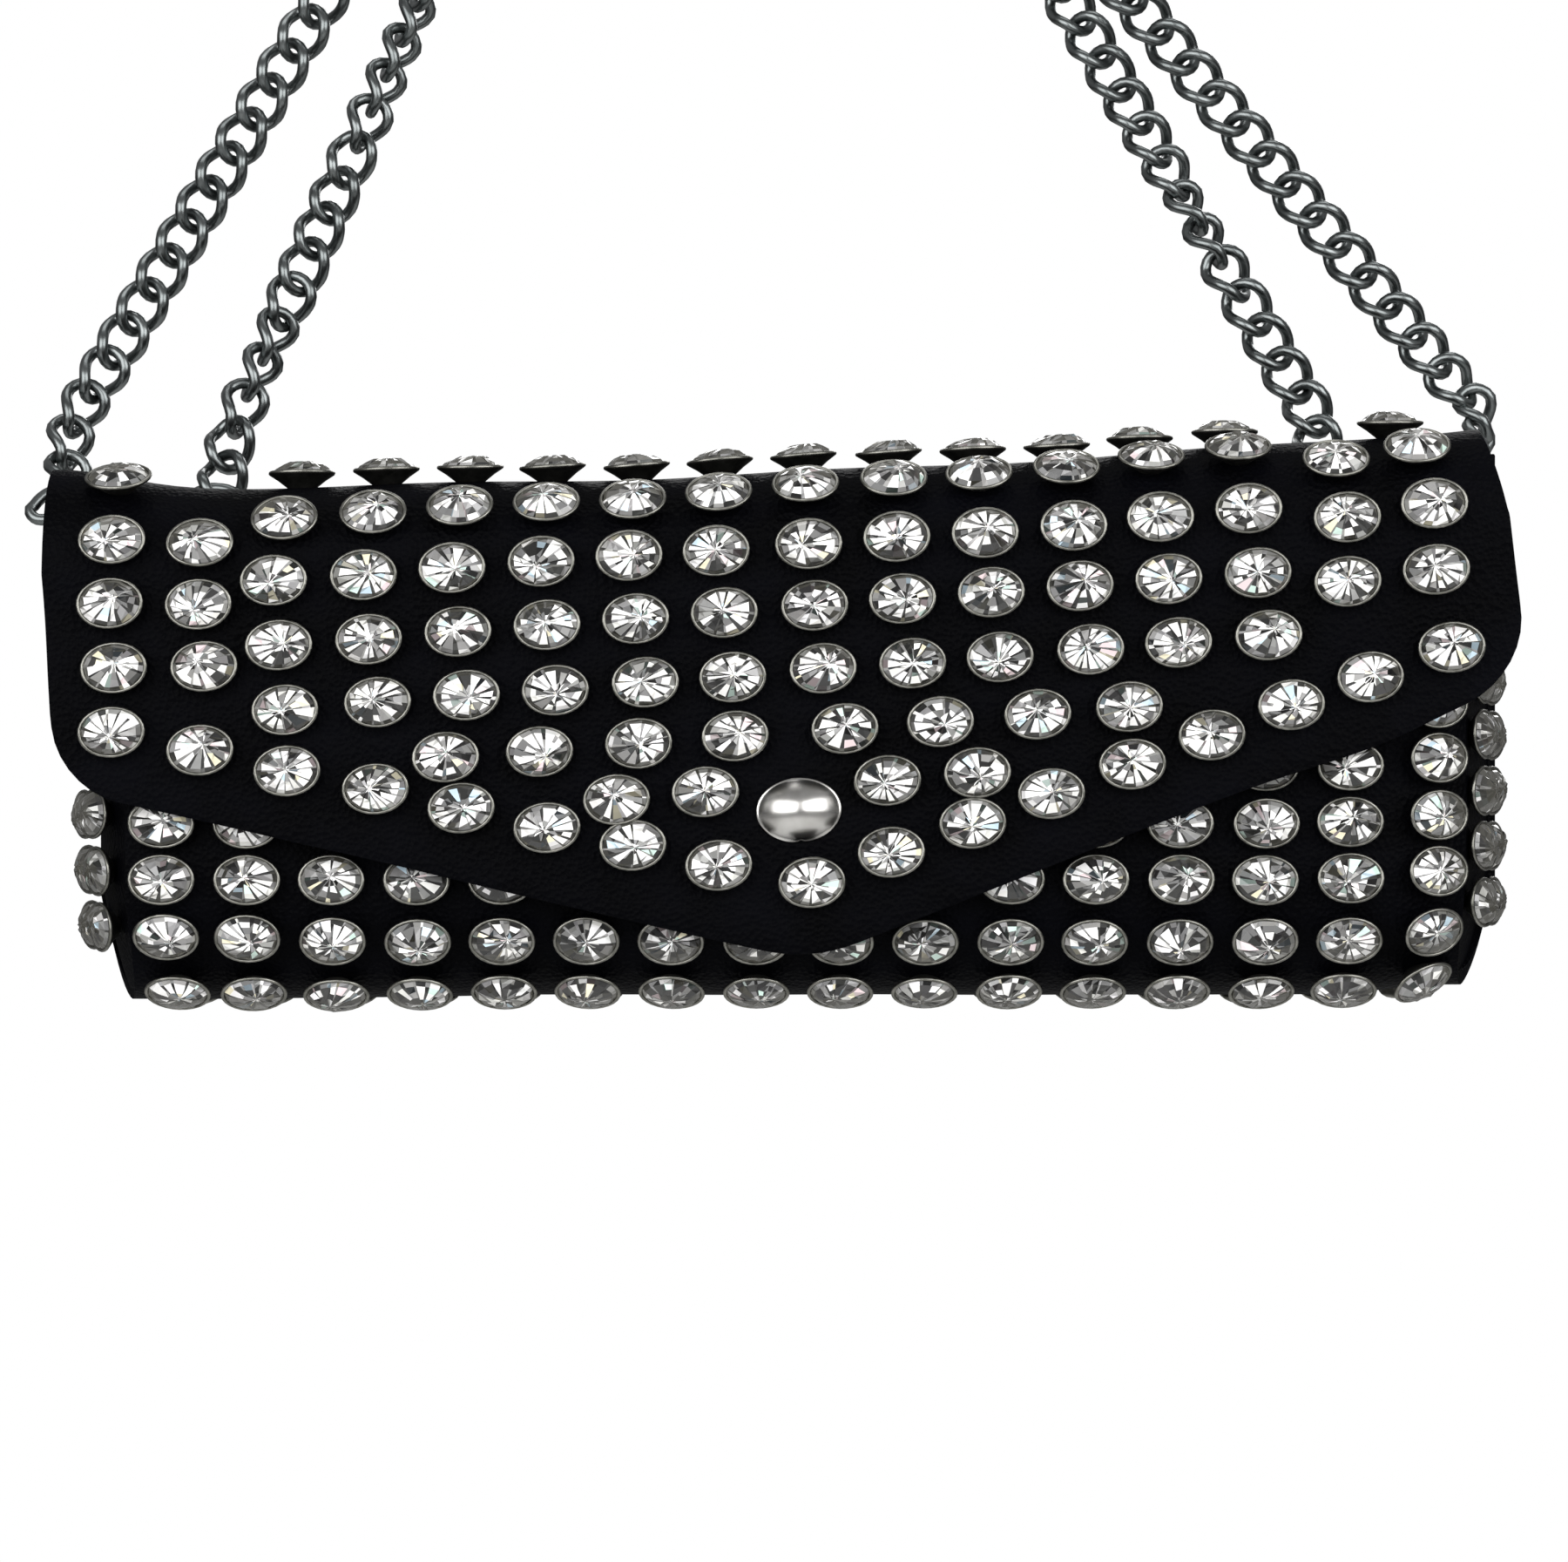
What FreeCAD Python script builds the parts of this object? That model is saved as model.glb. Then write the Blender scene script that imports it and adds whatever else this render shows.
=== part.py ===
"""Chain wallet: a crystal-studded clutch with an envelope flap, hung from two curb chains.

Design axes: X to the wearer's right hand side of the front view, Y towards the back, Z up.
Design zero: middle of the bag's width and depth, at the lowest line of its rounded bottom.
Every sub-part is then placed so that the row's origin is the hold point at the chains' crown.
"""
import FreeCAD, Part
import math
import os
import re
import Sketcher

DIMENSIONS = {
    # body
    "bottom_radius": 15.0, "front_half_width": 97.5, "back_half_width": 105.0,
    "front_top": 60.0, "back_top": 74.0, "leather": 2.0, "gusset_leather": 1.6,
    "lining": 0.6, "lining_top": 57.0,
    # flap
    "flap_leather": 1.4, "flap_front": 21.4, "flap_bend": 12.0, "flap_crest": 76.5,
    "flap_half_width": 105.0, "flap_tip": 21.8, "flap_edge_low": 11.0,
    "plate_rise_left": 2.0, "plate_drop_right": 4.4, "apron": 2.5,
    "flap_corner": 12.0, "flap_tip_round": 24.0, "fold_left": 108.3, "fold_right": 100.6,
    "pattern_tilt": 4.3, "fold_tilt": 2.5, "crest_back": 1.0,
    # snap
    "snap_height": 26.2, "cap_long": 6.05, "cap_short": 4.55, "cap_rise": 3.0, "cap_flange": 0.5,
    "rivet_radius": 1.6, "socket_radius": 5.0, "socket_mouth": 2.7, "socket_depth": 1.2,
    "stud_flange_radius": 4.2, "stud_flange_depth": 0.8, "stud_radius": 1.9, "stud_reach": 3.5,
    # crystals
    "crystal_rim": 4.7, "crystal_foot": 1.6, "crystal_oval": 0.756, "foot_depth": 1.2,
    "cone_top": 1.9, "rim_top": 2.3, "stone_girdle": 4.0, "stone_table": 2.3, "stone_top": 4.0,
    # body grid of crystals
    "column_pitch": 12.27, "row_pitch": 8.2, "first_row": 16.1, "upper_turn": 27.0, "lower_turn": 58.0,
    "gusset_first_left": 9.1, "gusset_first_right": 12.6, "gusset_column": 5.6,
    # rings and tabs
    "ring_bar_y": 18.0, "ring_bar_z": 70.0, "ring_radius": 5.5, "ring_wire": 0.9, "ring_lean": 27.0,
    "tab_bore": 1.0, "tab_radius": 2.2, "tab_width": 6.0, "tab_thick": 1.4, "tab_low": 61.0,
    # chains
    "link_length": 9.9, "link_width": 7.8, "link_wire": 0.9, "link_pitch": 6.1,
    "chain_play": 0.35, "outer_plane": 26.0, "inner_plane": 35.0, "crown_radius": 16.0,
    "crown_x": -17.0, "crown_y": 30.5, "crown_z": 235.0,
    # inside
    "card_width": 87.0, "card_inner": 4.0, "card_thick": 0.8, "card_low": 15.0,
    "card_first_top": 52.0, "card_step": 9.0,
    "pocket_half_width": 80.0, "pocket_low": 8.0, "pocket_top": 44.0, "pocket_outer": 2.4,
    "pocket_wall": 0.8, "tape_outer": 1.6, "tape_inner": 0.9, "tape_rise": 4.0, "tape_drop": 6.0,
    "tooth_pitch": 2.2, "tooth_length": 1.2, "teeth_half_width": 75.0, "stop_length": 1.6,
    "slider_length": 8.0, "slider_half_depth": 3.0, "slider_rise": 7.0, "slider_wall": 1.2,
    "pull_width": 3.6, "pull_drop": 13.0, "pull_thick": 0.8, "pull_hole_radius": 1.0,
}

doc = FreeCAD.newDocument("chain_wallet")
sheet = doc.addObject("Spreadsheet::Sheet", "Dims")
for row_number, (alias, value) in enumerate(DIMENSIONS.items(), start=1):
    sheet.set(f"A{row_number}", str(value))
    sheet.setAlias(f"A{row_number}", alias)
doc.recompute()

pieces = []
Vec = FreeCAD.Vector
X_AXIS, Y_AXIS, Z_AXIS = Vec(1, 0, 0), Vec(0, 1, 0), Vec(0, 0, 1)


def dim(alias):
    """One driving dimension, read from the sheet."""
    return float(getattr(sheet, alias))


def bind(thing, **expressions):
    """Bind properties to the sheet; every word that is an alias is looked up in it."""
    for name, expression in expressions.items():
        thing.setExpression(name.replace("__", "."), in_sheet(expression))


def in_sheet(expression, prefix="Dims."):
    """The expression with each dimension's name written as a cell of the sheet."""
    return re.sub("[a-z_]+", lambda word: prefix * (word.group() in DIMENSIONS) + word.group(), expression)


def keep(thing, label):
    """Register a finished sub-part and place it relative to the hold point."""
    thing.Label = label
    bind(thing, Placement__Base__x=f"{thing.Placement.Base.x} - crown_x",
         Placement__Base__y=f"{thing.Placement.Base.y} - crown_y",
         Placement__Base__z=f"{thing.Placement.Base.z} - crown_z")
    pieces.append(thing)
    return thing


# ---------------------------------------------------------------- building blocks

def box(name, low, high):
    """A box from six expressions: its low corner and its high corner."""
    solid = doc.addObject("Part::Box", name)
    bind(solid, Length=f"( {high[0]} ) - ( {low[0]} )", Width=f"( {high[1]} ) - ( {low[1]} )",
         Height=f"( {high[2]} ) - ( {low[2]} )", Placement__Base__x=low[0],
         Placement__Base__y=low[1], Placement__Base__z=low[2])
    return solid


def cylinder(name, radius, length, base, axis):
    """A cylinder from a base point of expressions, running along the axis."""
    solid = doc.addObject("Part::Cylinder", name)
    solid.Placement = FreeCAD.Placement(Vec(0, 0, 0), FreeCAD.Rotation(Z_AXIS, axis))
    bind(solid, Radius=radius, Height=length, Placement__Base__x=base[0],
         Placement__Base__y=base[1], Placement__Base__z=base[2])
    return solid


def cut(name, base, tool):
    result = doc.addObject("Part::Cut", name)
    result.Base = base
    result.Tool = tool
    return result


def common(name, first, second):
    result = doc.addObject("Part::Common", name)
    result.Base = first
    result.Tool = second
    return result


def fuse(name, *solids):
    result = doc.addObject("Part::MultiFuse", name)
    result.Shapes = list(solids)
    result.Refine = True
    return result


def pad_outline(name, plane, corners, length, start="0"):
    """A PartDesign body: a closed outline of straight edges on an origin plane, padded."""
    body = doc.addObject("PartDesign::Body", name)
    origin_plane = next(f for f in body.Origin.OriginFeatures if f.Role == plane)
    sketch = body.newObject("Sketcher::SketchObject", name + "_outline")
    sketch.AttachmentSupport = [(origin_plane, "")]
    sketch.MapMode = "FlatFace"
    bind(sketch, AttachmentOffset__Base__z=start)
    points = [Vec(*(float(sheet.evalExpression(e)) for e in corner), 0)
              for corner in corners]
    for here, there in zip(points, points[1:] + points[:1]):
        sketch.addGeometry(Part.LineSegment(here, there), False)
    for index in range(len(points)):
        after = (index + 1) % len(points)
        sketch.addConstraint(Sketcher.Constraint("Coincident", index, 2, after, 1))
    for index, (point, corner) in enumerate(zip(points, corners)):
        reaches = (("DistanceX", point.x, corner[0]), ("DistanceY", point.y, corner[1]))
        for kind, value, expression in reaches:
            number = sketch.addConstraint(Sketcher.Constraint(kind, -1, 1, index, 1, value))
            sketch.setExpression(f"Constraints[{number}]", in_sheet(expression))
    pad = body.newObject("PartDesign::Pad", name + "_pad")
    pad.Profile = sketch
    bind(pad, Length=length)
    doc.recompute()
    return body


def round_corners(body, picks, radius):
    """Round the outline corners whose X and Z are the given places."""
    shape = body.Shape
    names = []
    for number, edge in enumerate(shape.Edges, start=1):
        middle = edge.CenterOfMass
        along_y = abs(edge.BoundBox.YLength - edge.Length) < 0.001
        if along_y and any(math.hypot(middle.x - x, middle.z - z) < 0.5 for x, z in picks):
            names.append(f"Edge{number}")
    base = body.Tip
    fillet = body.newObject("PartDesign::Fillet", body.Name + "_round")
    fillet.Base = (base, names)
    bind(fillet, Radius=radius)
    doc.recompute()


def feature(label, shape):
    """A sub-part whose shape is worked out in code, from the sheet's dimensions."""
    thing = doc.addObject("Part::Feature", label)
    thing.Shape = shape
    return keep(thing, label)


def turned(thing, degrees, centre):
    """Turn a thing about the design Y axis through a centre point, right side up."""
    thing.Placement = turn_about(degrees, centre).multiply(thing.Placement)


# ---------------------------------------------------------------- the bag's leather

def trough(name, radius, top):
    """Solid of the bag's side view: straight walls over a half-round bottom, along X."""
    walls = box(name + "_walls", ("-150", f"-( {radius} )", "bottom_radius"), ("150", radius, top))
    bottom = cylinder(name + "_bottom", radius, "300", ("-150", "0", "bottom_radius"), X_AXIS)
    return fuse(name, walls, bottom)


def plan(name, inset):
    """Prism of the bag's top view, wider at the back, with its ends moved in by the inset."""
    front = f"front_half_width - ( {inset} )"
    back = f"back_half_width - ( {inset} )"
    return pad_outline(name, "XY_Plane", [
        (f"-({front})", "-bottom_radius"), (front, "-bottom_radius"),
        (back, "bottom_radius"), (f"-({back})", "bottom_radius")], "90")


def make_body():
    outer = trough("outer_side", "bottom_radius", "front_top")
    inner = trough("inner_side", "bottom_radius - leather", "front_top")
    shell = cut("shell", outer, inner)
    behind = box("behind", ("-150", "bottom_radius - leather - 0.5", "bottom_radius"), ("150", "40", "90"))
    front = cut("front_and_bottom", shell, behind)
    keep(common("front_panel", front, plan("bag_plan", "0")), "front_panel")

    rise = "tan(fold_tilt * 1 deg)"
    left_top = f"back_top - back_half_width * {rise}"
    right_top = f"back_top + back_half_width * {rise}"
    plate = pad_outline("back_plate", "XZ_Plane", [
        ("-back_half_width", "bottom_radius"), ("back_half_width", "bottom_radius"),
        ("back_half_width", right_top), ("-back_half_width", left_top)],
        "leather", "-bottom_radius")
    keep(common("back_panel", plate, plan("back_plan", "0")), "back_panel")

    for side, sign in (("left", -1), ("right", 1)):
        inward = "gusset_leather"
        corners = [(f"{sign} * ( front_half_width - {inward} )", "-bottom_radius"),
                   (f"{sign} * front_half_width", "-bottom_radius"),
                   (f"{sign} * back_half_width", "bottom_radius"),
                   (f"{sign} * ( back_half_width - {inward} )", "bottom_radius")]
        wall = pad_outline(f"{side}_wall", "XY_Plane", corners, "front_top")
        profile = trough(f"{side}_profile", "bottom_radius - leather", "front_top")
        keep(common(f"{side}_gusset", wall, profile), f"{side}_gusset")

    cloth_outer = trough("cloth_outer", "bottom_radius - leather", "lining_top")
    cloth_inner = trough("cloth_inner", "bottom_radius - leather - lining", "lining_top")
    cloth = cut("cloth", cloth_outer, cloth_inner)
    keep(common("body_lining", cloth, plan("cloth_plan", "gusset_leather")), "body_lining")


# ---------------------------------------------------------------- the flap

def snap_centre():
    return Vec(0, 0, dim("snap_height"))


def make_flap_layer(label, depth_in, thick, trim):
    """depth_in is how far the layer's outer face lies inside the flap's outer face."""
    outer = f"flap_front - {depth_in}"
    side = f"( flap_half_width - {trim} )"
    edge = f"( snap_height + flap_edge_low + {trim} )"
    tip = f"( snap_height - flap_tip + {trim} )"
    plate = pad_outline(label + "_plate", "XZ_Plane", [
        ("0", tip), (side, edge), (side, "flap_crest - flap_bend - plate_drop_right"),
        (f"-{side}", "flap_crest - flap_bend + plate_rise_left"), (f"-{side}", edge)],
        thick, f"{outer} - {thick}")
    places = [(s * (dim("flap_half_width") - trim), dim("snap_height") + dim("flap_edge_low") + trim)
              for s in (-1, 1)]
    round_corners(plate, places, "flap_corner")
    round_corners(plate, [(0, dim("snap_height") - dim("flap_tip") + trim)], "flap_tip_round")
    turned(plate, dim("pattern_tilt"), snap_centre())

    reach = f"flap_bend - {depth_in}"
    axis_y = "flap_bend - flap_front"
    axis_z = "flap_crest - flap_bend"
    left, length = f"{trim} - fold_left", f"fold_left + fold_right - 2 * {trim}"
    right = f"fold_right - {trim}"
    solid = cylinder(label + "_bend_outer", reach, length, (left, axis_y, axis_z), X_AXIS)
    hollow = cylinder(label + "_bend_inner", f"{reach} - {thick}", length, (left, axis_y, axis_z), X_AXIS)
    quarter = box(label + "_quarter", (left, "-flap_front - flap_bend", axis_z),
                  (right, axis_y, "flap_crest + flap_bend"))
    bend = common(label + "_bend", cut(label + "_tube", solid, hollow), quarter)
    crest = box(label + "_crest", (left, axis_y, f"flap_crest - {depth_in} - {thick}"),
                (right, "bottom_radius", f"flap_crest - {depth_in}"))
    apron = box(label + "_apron", (left, f"-( {outer} )", f"{axis_z} - apron"),
                (right, f"{thick} - ( {outer} )", axis_z))
    fold = fuse(label + "_fold", bend, crest, apron)
    turned(fold, dim("fold_tilt"), Vec(0, 0, dim("flap_crest")))
    keep(fuse(label, plate, fold), label)


def cap_shape():
    """Domed oval cap on a thin flange: a round dome, turned up and then narrowed in height."""
    long_half, rise, flange = dim("cap_long"), dim("cap_rise"), dim("cap_flange")
    crown, brim, rim = Vec(0, -rise - flange, 0), Vec(long_half, -flange, 0), Vec(long_half, 0, 0)
    shoulder = Vec(long_half * 0.72, -flange - rise * 0.66, 0)
    edges = [Part.Arc(crown, shoulder, brim).toShape(), Part.makeLine(brim, rim),
             Part.makeLine(rim, Vec(0, 0, 0)), Part.makeLine(Vec(0, 0, 0), crown)]
    dome = Part.Face(Part.Wire(edges)).revolve(Vec(0, 0, 0), Y_AXIS, 360)
    narrow = FreeCAD.Matrix()
    narrow.scale(1.0, 1.0, dim("cap_short") / long_half)
    return dome.transformGeometry(narrow)


def make_snap():
    head = cap_shape()
    rivet = Part.makeCylinder(dim("rivet_radius"), dim("leather"), Vec(0, 0, 0), Y_AXIS)
    cap = head.fuse(rivet)
    cap.translate(Vec(0, -dim("flap_front"), dim("snap_height")))
    feature("snap_cap", cap)

    inner_face = "leather - flap_front"
    ring = cylinder("socket_ring", "socket_radius", "socket_depth",
                    ("0", inner_face, "snap_height"), Y_AXIS)
    mouth = cylinder("socket_mouth_hole", "socket_mouth", "socket_depth",
                     ("0", inner_face, "snap_height"), Y_AXIS)
    keep(cut("snap_socket", ring, mouth), "snap_socket")

    flange = cylinder("stud_flange", "stud_flange_radius", "stud_flange_depth",
                      ("0", "-bottom_radius - stud_flange_depth", "snap_height"), Y_AXIS)
    post = cylinder("stud_post", "stud_radius", "stud_reach",
                    ("0", "-bottom_radius - stud_reach", "snap_height"), Y_AXIS)
    keep(fuse("snap_stud", flange, post), "snap_stud")


# ---------------------------------------------------------------- crystals

FACETS = 8


def stacked_solid(levels):
    """Closed solid of flat facets through oval rings, each given as (half length, height)."""
    oval = dim("crystal_oval")
    rings = []
    for half, height in levels:
        angles = [2 * math.pi * (n + 0.5) / FACETS for n in range(FACETS)]
        rings.append([Vec(half * math.cos(a), half * oval * math.sin(a), height) for a in angles])
    faces = [Part.Face(Part.makePolygon(ring + ring[:1])) for ring in (rings[0], rings[-1])]
    for lower, upper in zip(rings, rings[1:]):
        for n in range(FACETS):
            m = (n + 1) % FACETS
            corners = [lower[n], lower[m], upper[m], upper[n], lower[n]]
            faces.append(Part.Face(Part.makePolygon(corners)))
    solid = Part.Solid(Part.Shell(faces))
    if solid.Volume < 0:
        solid.reverse()
    return solid


def cup_master():
    return stacked_solid([(dim("crystal_foot"), -dim("foot_depth")), (dim("crystal_rim"), dim("cone_top")),
                          (dim("crystal_rim"), dim("rim_top"))])


def stone_master():
    return stacked_solid([(dim("stone_girdle"), dim("rim_top")), (dim("stone_table"), dim("stone_top"))])


def seat(point, outward, long_axis):
    """Placement of one crystal: its foot at the point, facing outward, long axis as given."""
    side = outward.cross(long_axis)
    return FreeCAD.Placement(point, FreeCAD.Rotation(long_axis, side, outward, "ZXY"))


def make_crystals(group, seats):
    for kind, master in (("cups", cup_master()), ("stones", stone_master())):
        copies = []
        for place in seats:
            copy = master.copy()
            copy.Placement = place
            copies.append(copy)
        feature(f"{kind}_{group}", Part.makeCompound(copies))


def grid_columns(count, pitch):
    return [(n - (count - 1) / 2) * pitch for n in range(count)]


def around_bottom(x, degrees):
    """Seat on the half-round bottom; 0 faces forward, 90 faces straight down, 180 back."""
    angle = math.radians(degrees)
    outward = Vec(0, -math.cos(angle), -math.sin(angle))
    point = Vec(x, 0, dim("bottom_radius")) + outward * dim("bottom_radius")
    return seat(point, outward, X_AXIS)


def make_body_crystals():
    columns = grid_columns(16, dim("column_pitch"))
    rows = [dim("first_row") + n * dim("row_pitch") for n in range(5)]
    forward, backward = Vec(0, -1, 0), Vec(0, 1, 0)
    clear_of_stud = dim("stud_flange_radius") + dim("crystal_rim")
    front = [seat(Vec(x, -dim("bottom_radius"), z), forward, X_AXIS) for z in rows for x in columns
             if math.hypot(x, z - dim("snap_height")) > clear_of_stud]
    turns = [dim("upper_turn"), dim("lower_turn")]
    front += [around_bottom(x, degrees) for degrees in turns for x in columns]
    make_crystals("front", front)
    make_crystals("bottom", [around_bottom(x, 180 - degrees) for degrees in turns for x in columns])
    make_crystals("back", [seat(Vec(x, dim("bottom_radius"), z), backward, X_AXIS)
                           for z in rows for x in columns])
    run = Vec(dim("back_half_width") - dim("front_half_width"), 2 * dim("bottom_radius"), 0).normalize()
    for side, sign in (("left_gusset", -1), ("right_gusset", 1)):
        along = Vec(sign * run.x, run.y, 0)
        outward = Vec(sign * run.y, -run.x, 0)
        middle = Vec(sign * (dim("front_half_width") + dim("back_half_width")) / 2, 0, 0)
        first = dim(f"gusset_first_{side.split('_')[0]}")
        seats = [seat(middle + along * step + Vec(0, 0, first + n * dim("row_pitch")), outward, along)
                 for step in mirrored([dim("gusset_column")]) for n in range(5)]
        make_crystals(side, seats)


def turn_about(degrees, centre):
    """Rotation about the design Y axis through a centre, lifting the right hand side."""
    return FreeCAD.Placement(Vec(0, 0, 0), FreeCAD.Rotation(Y_AXIS, -degrees), centre)


def on_fold(x, degrees, back=0.0):
    """Seat on the bend (0 faces forward, 90 up) or, at 90, further back on the crest."""
    turn = turn_about(dim("fold_tilt"), Vec(0, 0, dim("flap_crest")))
    angle = math.radians(degrees)
    outward = Vec(0, -math.cos(angle), math.sin(angle))
    centre = Vec(x, dim("flap_bend") - dim("flap_front") + back, dim("flap_crest") - dim("flap_bend"))
    point = centre + outward * dim("flap_bend")
    return seat(turn.multVec(point), turn.Rotation.multVec(outward), turn.Rotation.multVec(X_AXIS))


def on_flap(x, z):
    """Seat on the flap where its front view has the place (x, z), counted from the snap
    before the pattern is tilted: on the flat front, or round the bend above it, where
    the place is the middle of the cup's rim."""
    turn = turn_about(dim("pattern_tilt"), snap_centre())
    point = turn.multVec(Vec(x, -dim("flap_front"), dim("snap_height") + z))
    bend_start = (dim("flap_crest") - dim("flap_bend")
                  + point.x * math.tan(math.radians(dim("fold_tilt"))))
    rise = (point.z - bend_start) / (dim("flap_bend") + dim("rim_top"))
    if rise > 0:
        return on_fold(point.x, math.degrees(math.asin(rise)))
    return seat(point, Vec(0, -1, 0), turn.Rotation.multVec(X_AXIS))


def mirrored(values):
    return [sign * value for value in values for sign in (-1, 1)]


# the flap's pattern, counted from the snap: rows as (height, pitch, middle), short rows as
# (height, places), and the border's two arms as (first place, step, steepness)
FIELD_ROWS = [(19.9, 12.8, -1.4), (29.1, 12.76, -2.0), (38.4, 12.67, -2.5), (47.6, 12.5, -1.7)]
SHORT_ROWS = [(3.5, (-25.9, -13.2, 13.2, 25.9)),
              (11.25, (-50.0, -36.5, -22.2, -8.2, 7.5, 21.2, 35.1, 48.2))]
SIDE_COLUMNS = [(-82.5, (26.8, 35.9, 44.5)), (-95.0, (27.6, 36.8, 45.4)),
                (80.7, (26.8, 35.9, 44.5)), (93.2, (27.6, 36.8, 45.4))]
BORDER_TIP, BORDER_ARMS = -10.6, [(1.2, 11.7, 0.285), (-12.04, -12.04, 0.303)]


def border_places():
    """The two arms of the border, rising from the flap's tip to its sides."""
    for first, step, steepness in BORDER_ARMS:
        for n in range(9 if step > 0 else 8):
            x = first + n * step
            yield x, BORDER_TIP + steepness * abs(x)


def make_flap_crystals():
    field = [on_flap(middle + x, z) for z, pitch, middle in FIELD_ROWS for x in grid_columns(12, pitch)]
    field += [on_flap(x, z) for z, places in SHORT_ROWS for x in places]
    field += [on_flap(x, z) for x, heights in SIDE_COLUMNS for z in heights]
    make_crystals("flap_field", field)
    make_crystals("flap_border", [on_flap(x, z) for x, z in border_places()])
    columns = [x - 5.1 for x in grid_columns(12, 12.25)]
    crest = [on_fold(x, 90.0, dim("crest_back")) for x in columns + [87.5]]
    make_crystals("flap_crest", crest + [on_fold(-98.0, 57.0)])


# ---------------------------------------------------------------- rings, tabs and chains

RING_PLACES = {"outer_left": -111.0, "inner_left": -88.5, "inner_right": 81.0, "outer_right": 100.5}
# each strand's upper points, as (x, z), on the way from its ring to the crown
STRAND_POINTS = {
    "outer_left": [(-111.5, 84.0), (-71.6, 152.0)], "inner_left": [(-86.5, 84.0), (-58.3, 152.0)],
    "inner_right": [(79.0, 86.0), (41.5, 152.0)], "outer_right": [(105.0, 86.0), (49.7, 152.0)]}


def half_ring(radius, wire, upward):
    """Half circle of round wire in the XZ plane: its upper half, or its lower half."""
    section = Part.Face(Part.Wire(Part.makeCircle(wire, Vec(radius, 0, 0), Z_AXIS)))
    return section.revolve(Vec(0, 0, 0), Vec(0, -1 if upward else 1, 0), 180)


def make_ring(place):
    """D-ring: a half circle of wire on a straight bar, leaning back from the bag."""
    radius, wire = dim("ring_radius"), dim("ring_wire")
    bar = Part.makeCylinder(wire, 2 * (radius + wire), Vec(-radius - wire, 0, 0), X_AXIS)
    ring = bar.fuse(half_ring(radius, wire, True))
    ring.rotate(Vec(0, 0, 0), X_AXIS, -dim("ring_lean"))
    ring.translate(Vec(RING_PLACES[place], dim("ring_bar_y"), dim("ring_bar_z")))
    feature(f"ring_{place}", ring.removeSplitter().Solids[0])


def make_tab(place):
    """Leather tab: a sleeve round the ring's bar on a tongue sewn to the back panel.

    A ring beyond the panel's edge has a longer tongue that reaches back onto the panel."""
    x = RING_PLACES[place]
    low_x, high_x = f"{x} - tab_width / 2", f"{x} + tab_width / 2"
    overlap_x = dim("tab_width") - dim("back_half_width")
    sleeve = cylinder(f"tab_sleeve_{place}", "tab_radius", "tab_width",
                      (low_x, "ring_bar_y", "ring_bar_z"), X_AXIS)
    tongue = box(f"tab_tongue_{place}",
                 (low_x, "bottom_radius", "tab_low"),
                 ("tab_width - back_half_width" if x < overlap_x else high_x,
                  "bottom_radius + tab_thick", "ring_bar_z"))
    bore = cylinder(f"tab_bore_{place}", "tab_bore", "tab_width",
                    (low_x, "ring_bar_y", "ring_bar_z"), X_AXIS)
    keep(cut(f"tab_{place}", fuse(f"tab_solid_{place}", sleeve, tongue), bore), f"tab_{place}")


def link_master():
    """One welded link in the XZ plane, long axis along Z, centred on zero."""
    wire = dim("link_wire")
    bow = dim("link_width") / 2 - wire
    straight = dim("link_length") / 2 - wire - bow
    ends = []
    for sign in (1, -1):
        end = half_ring(bow, wire, sign > 0)
        end.translate(Vec(0, 0, sign * straight))
        ends.append(end)
    sides = [Part.makeCylinder(wire, 2 * straight, Vec(x, 0, -straight), Z_AXIS) for x in (-bow, bow)]
    return ends[0].multiFuse([ends[1]] + sides).removeSplitter().Solids[0]


def tangent_point(x, z, side):
    """Where a straight strand from (x, z) meets the crown's circle on the given side."""
    radius = dim("crown_radius")
    centre_x, centre_z = dim("crown_x"), dim("crown_z") - radius
    away = math.atan2(z - centre_z, x - centre_x)
    spread = math.acos(radius / math.hypot(z - centre_z, x - centre_x))
    return away - side * spread


def chain_route(left, right, plane):
    """Points of one chain from its left ring's bow, over the crown, to its right ring's bow."""
    lean = math.radians(dim("ring_lean"))
    halves = {}
    for place in (left, right):
        first_x, first_z = STRAND_POINTS[place][0]
        bar = Vec(RING_PLACES[place], dim("ring_bar_y"), dim("ring_bar_z"))
        rise = first_z - bar.z
        knee = Vec(first_x, bar.y + rise * math.tan(lean), first_z)
        upper = [Vec(x, plane, z) for x, z in STRAND_POINTS[place][1:]]
        halves[place] = [bar + (knee - bar).normalize() * first_reach(), knee] + upper
    start = tangent_point(halves[left][-1].x, halves[left][-1].z, 1)
    stop = tangent_point(halves[right][-1].x, halves[right][-1].z, -1)
    start, stop = start % (2 * math.pi), stop % (2 * math.pi)
    radius, steps = dim("crown_radius"), 24
    centre = Vec(dim("crown_x"), plane, dim("crown_z") - radius)
    arc = [start + (stop - start) * n / steps for n in range(steps + 1)]
    crown = [centre + Vec(radius * math.cos(a), 0, radius * math.sin(a)) for a in arc]
    return halves[left] + crown + halves[right][::-1]


def first_reach():
    """From a ring's bar to the middle of the first link that hangs on its bow."""
    slack = dim("chain_play")
    return (dim("ring_radius") - dim("ring_wire") - dim("link_wire") - slack
            + dim("link_length") / 2 - dim("link_wire"))


def along(route, distance):
    """Point and direction at a distance along a route."""
    for here, there in zip(route, route[1:]):
        length = (there - here).Length
        if distance <= length:
            break
        distance -= length
    direction = (there - here).normalize()
    return here + direction * distance, direction


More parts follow.
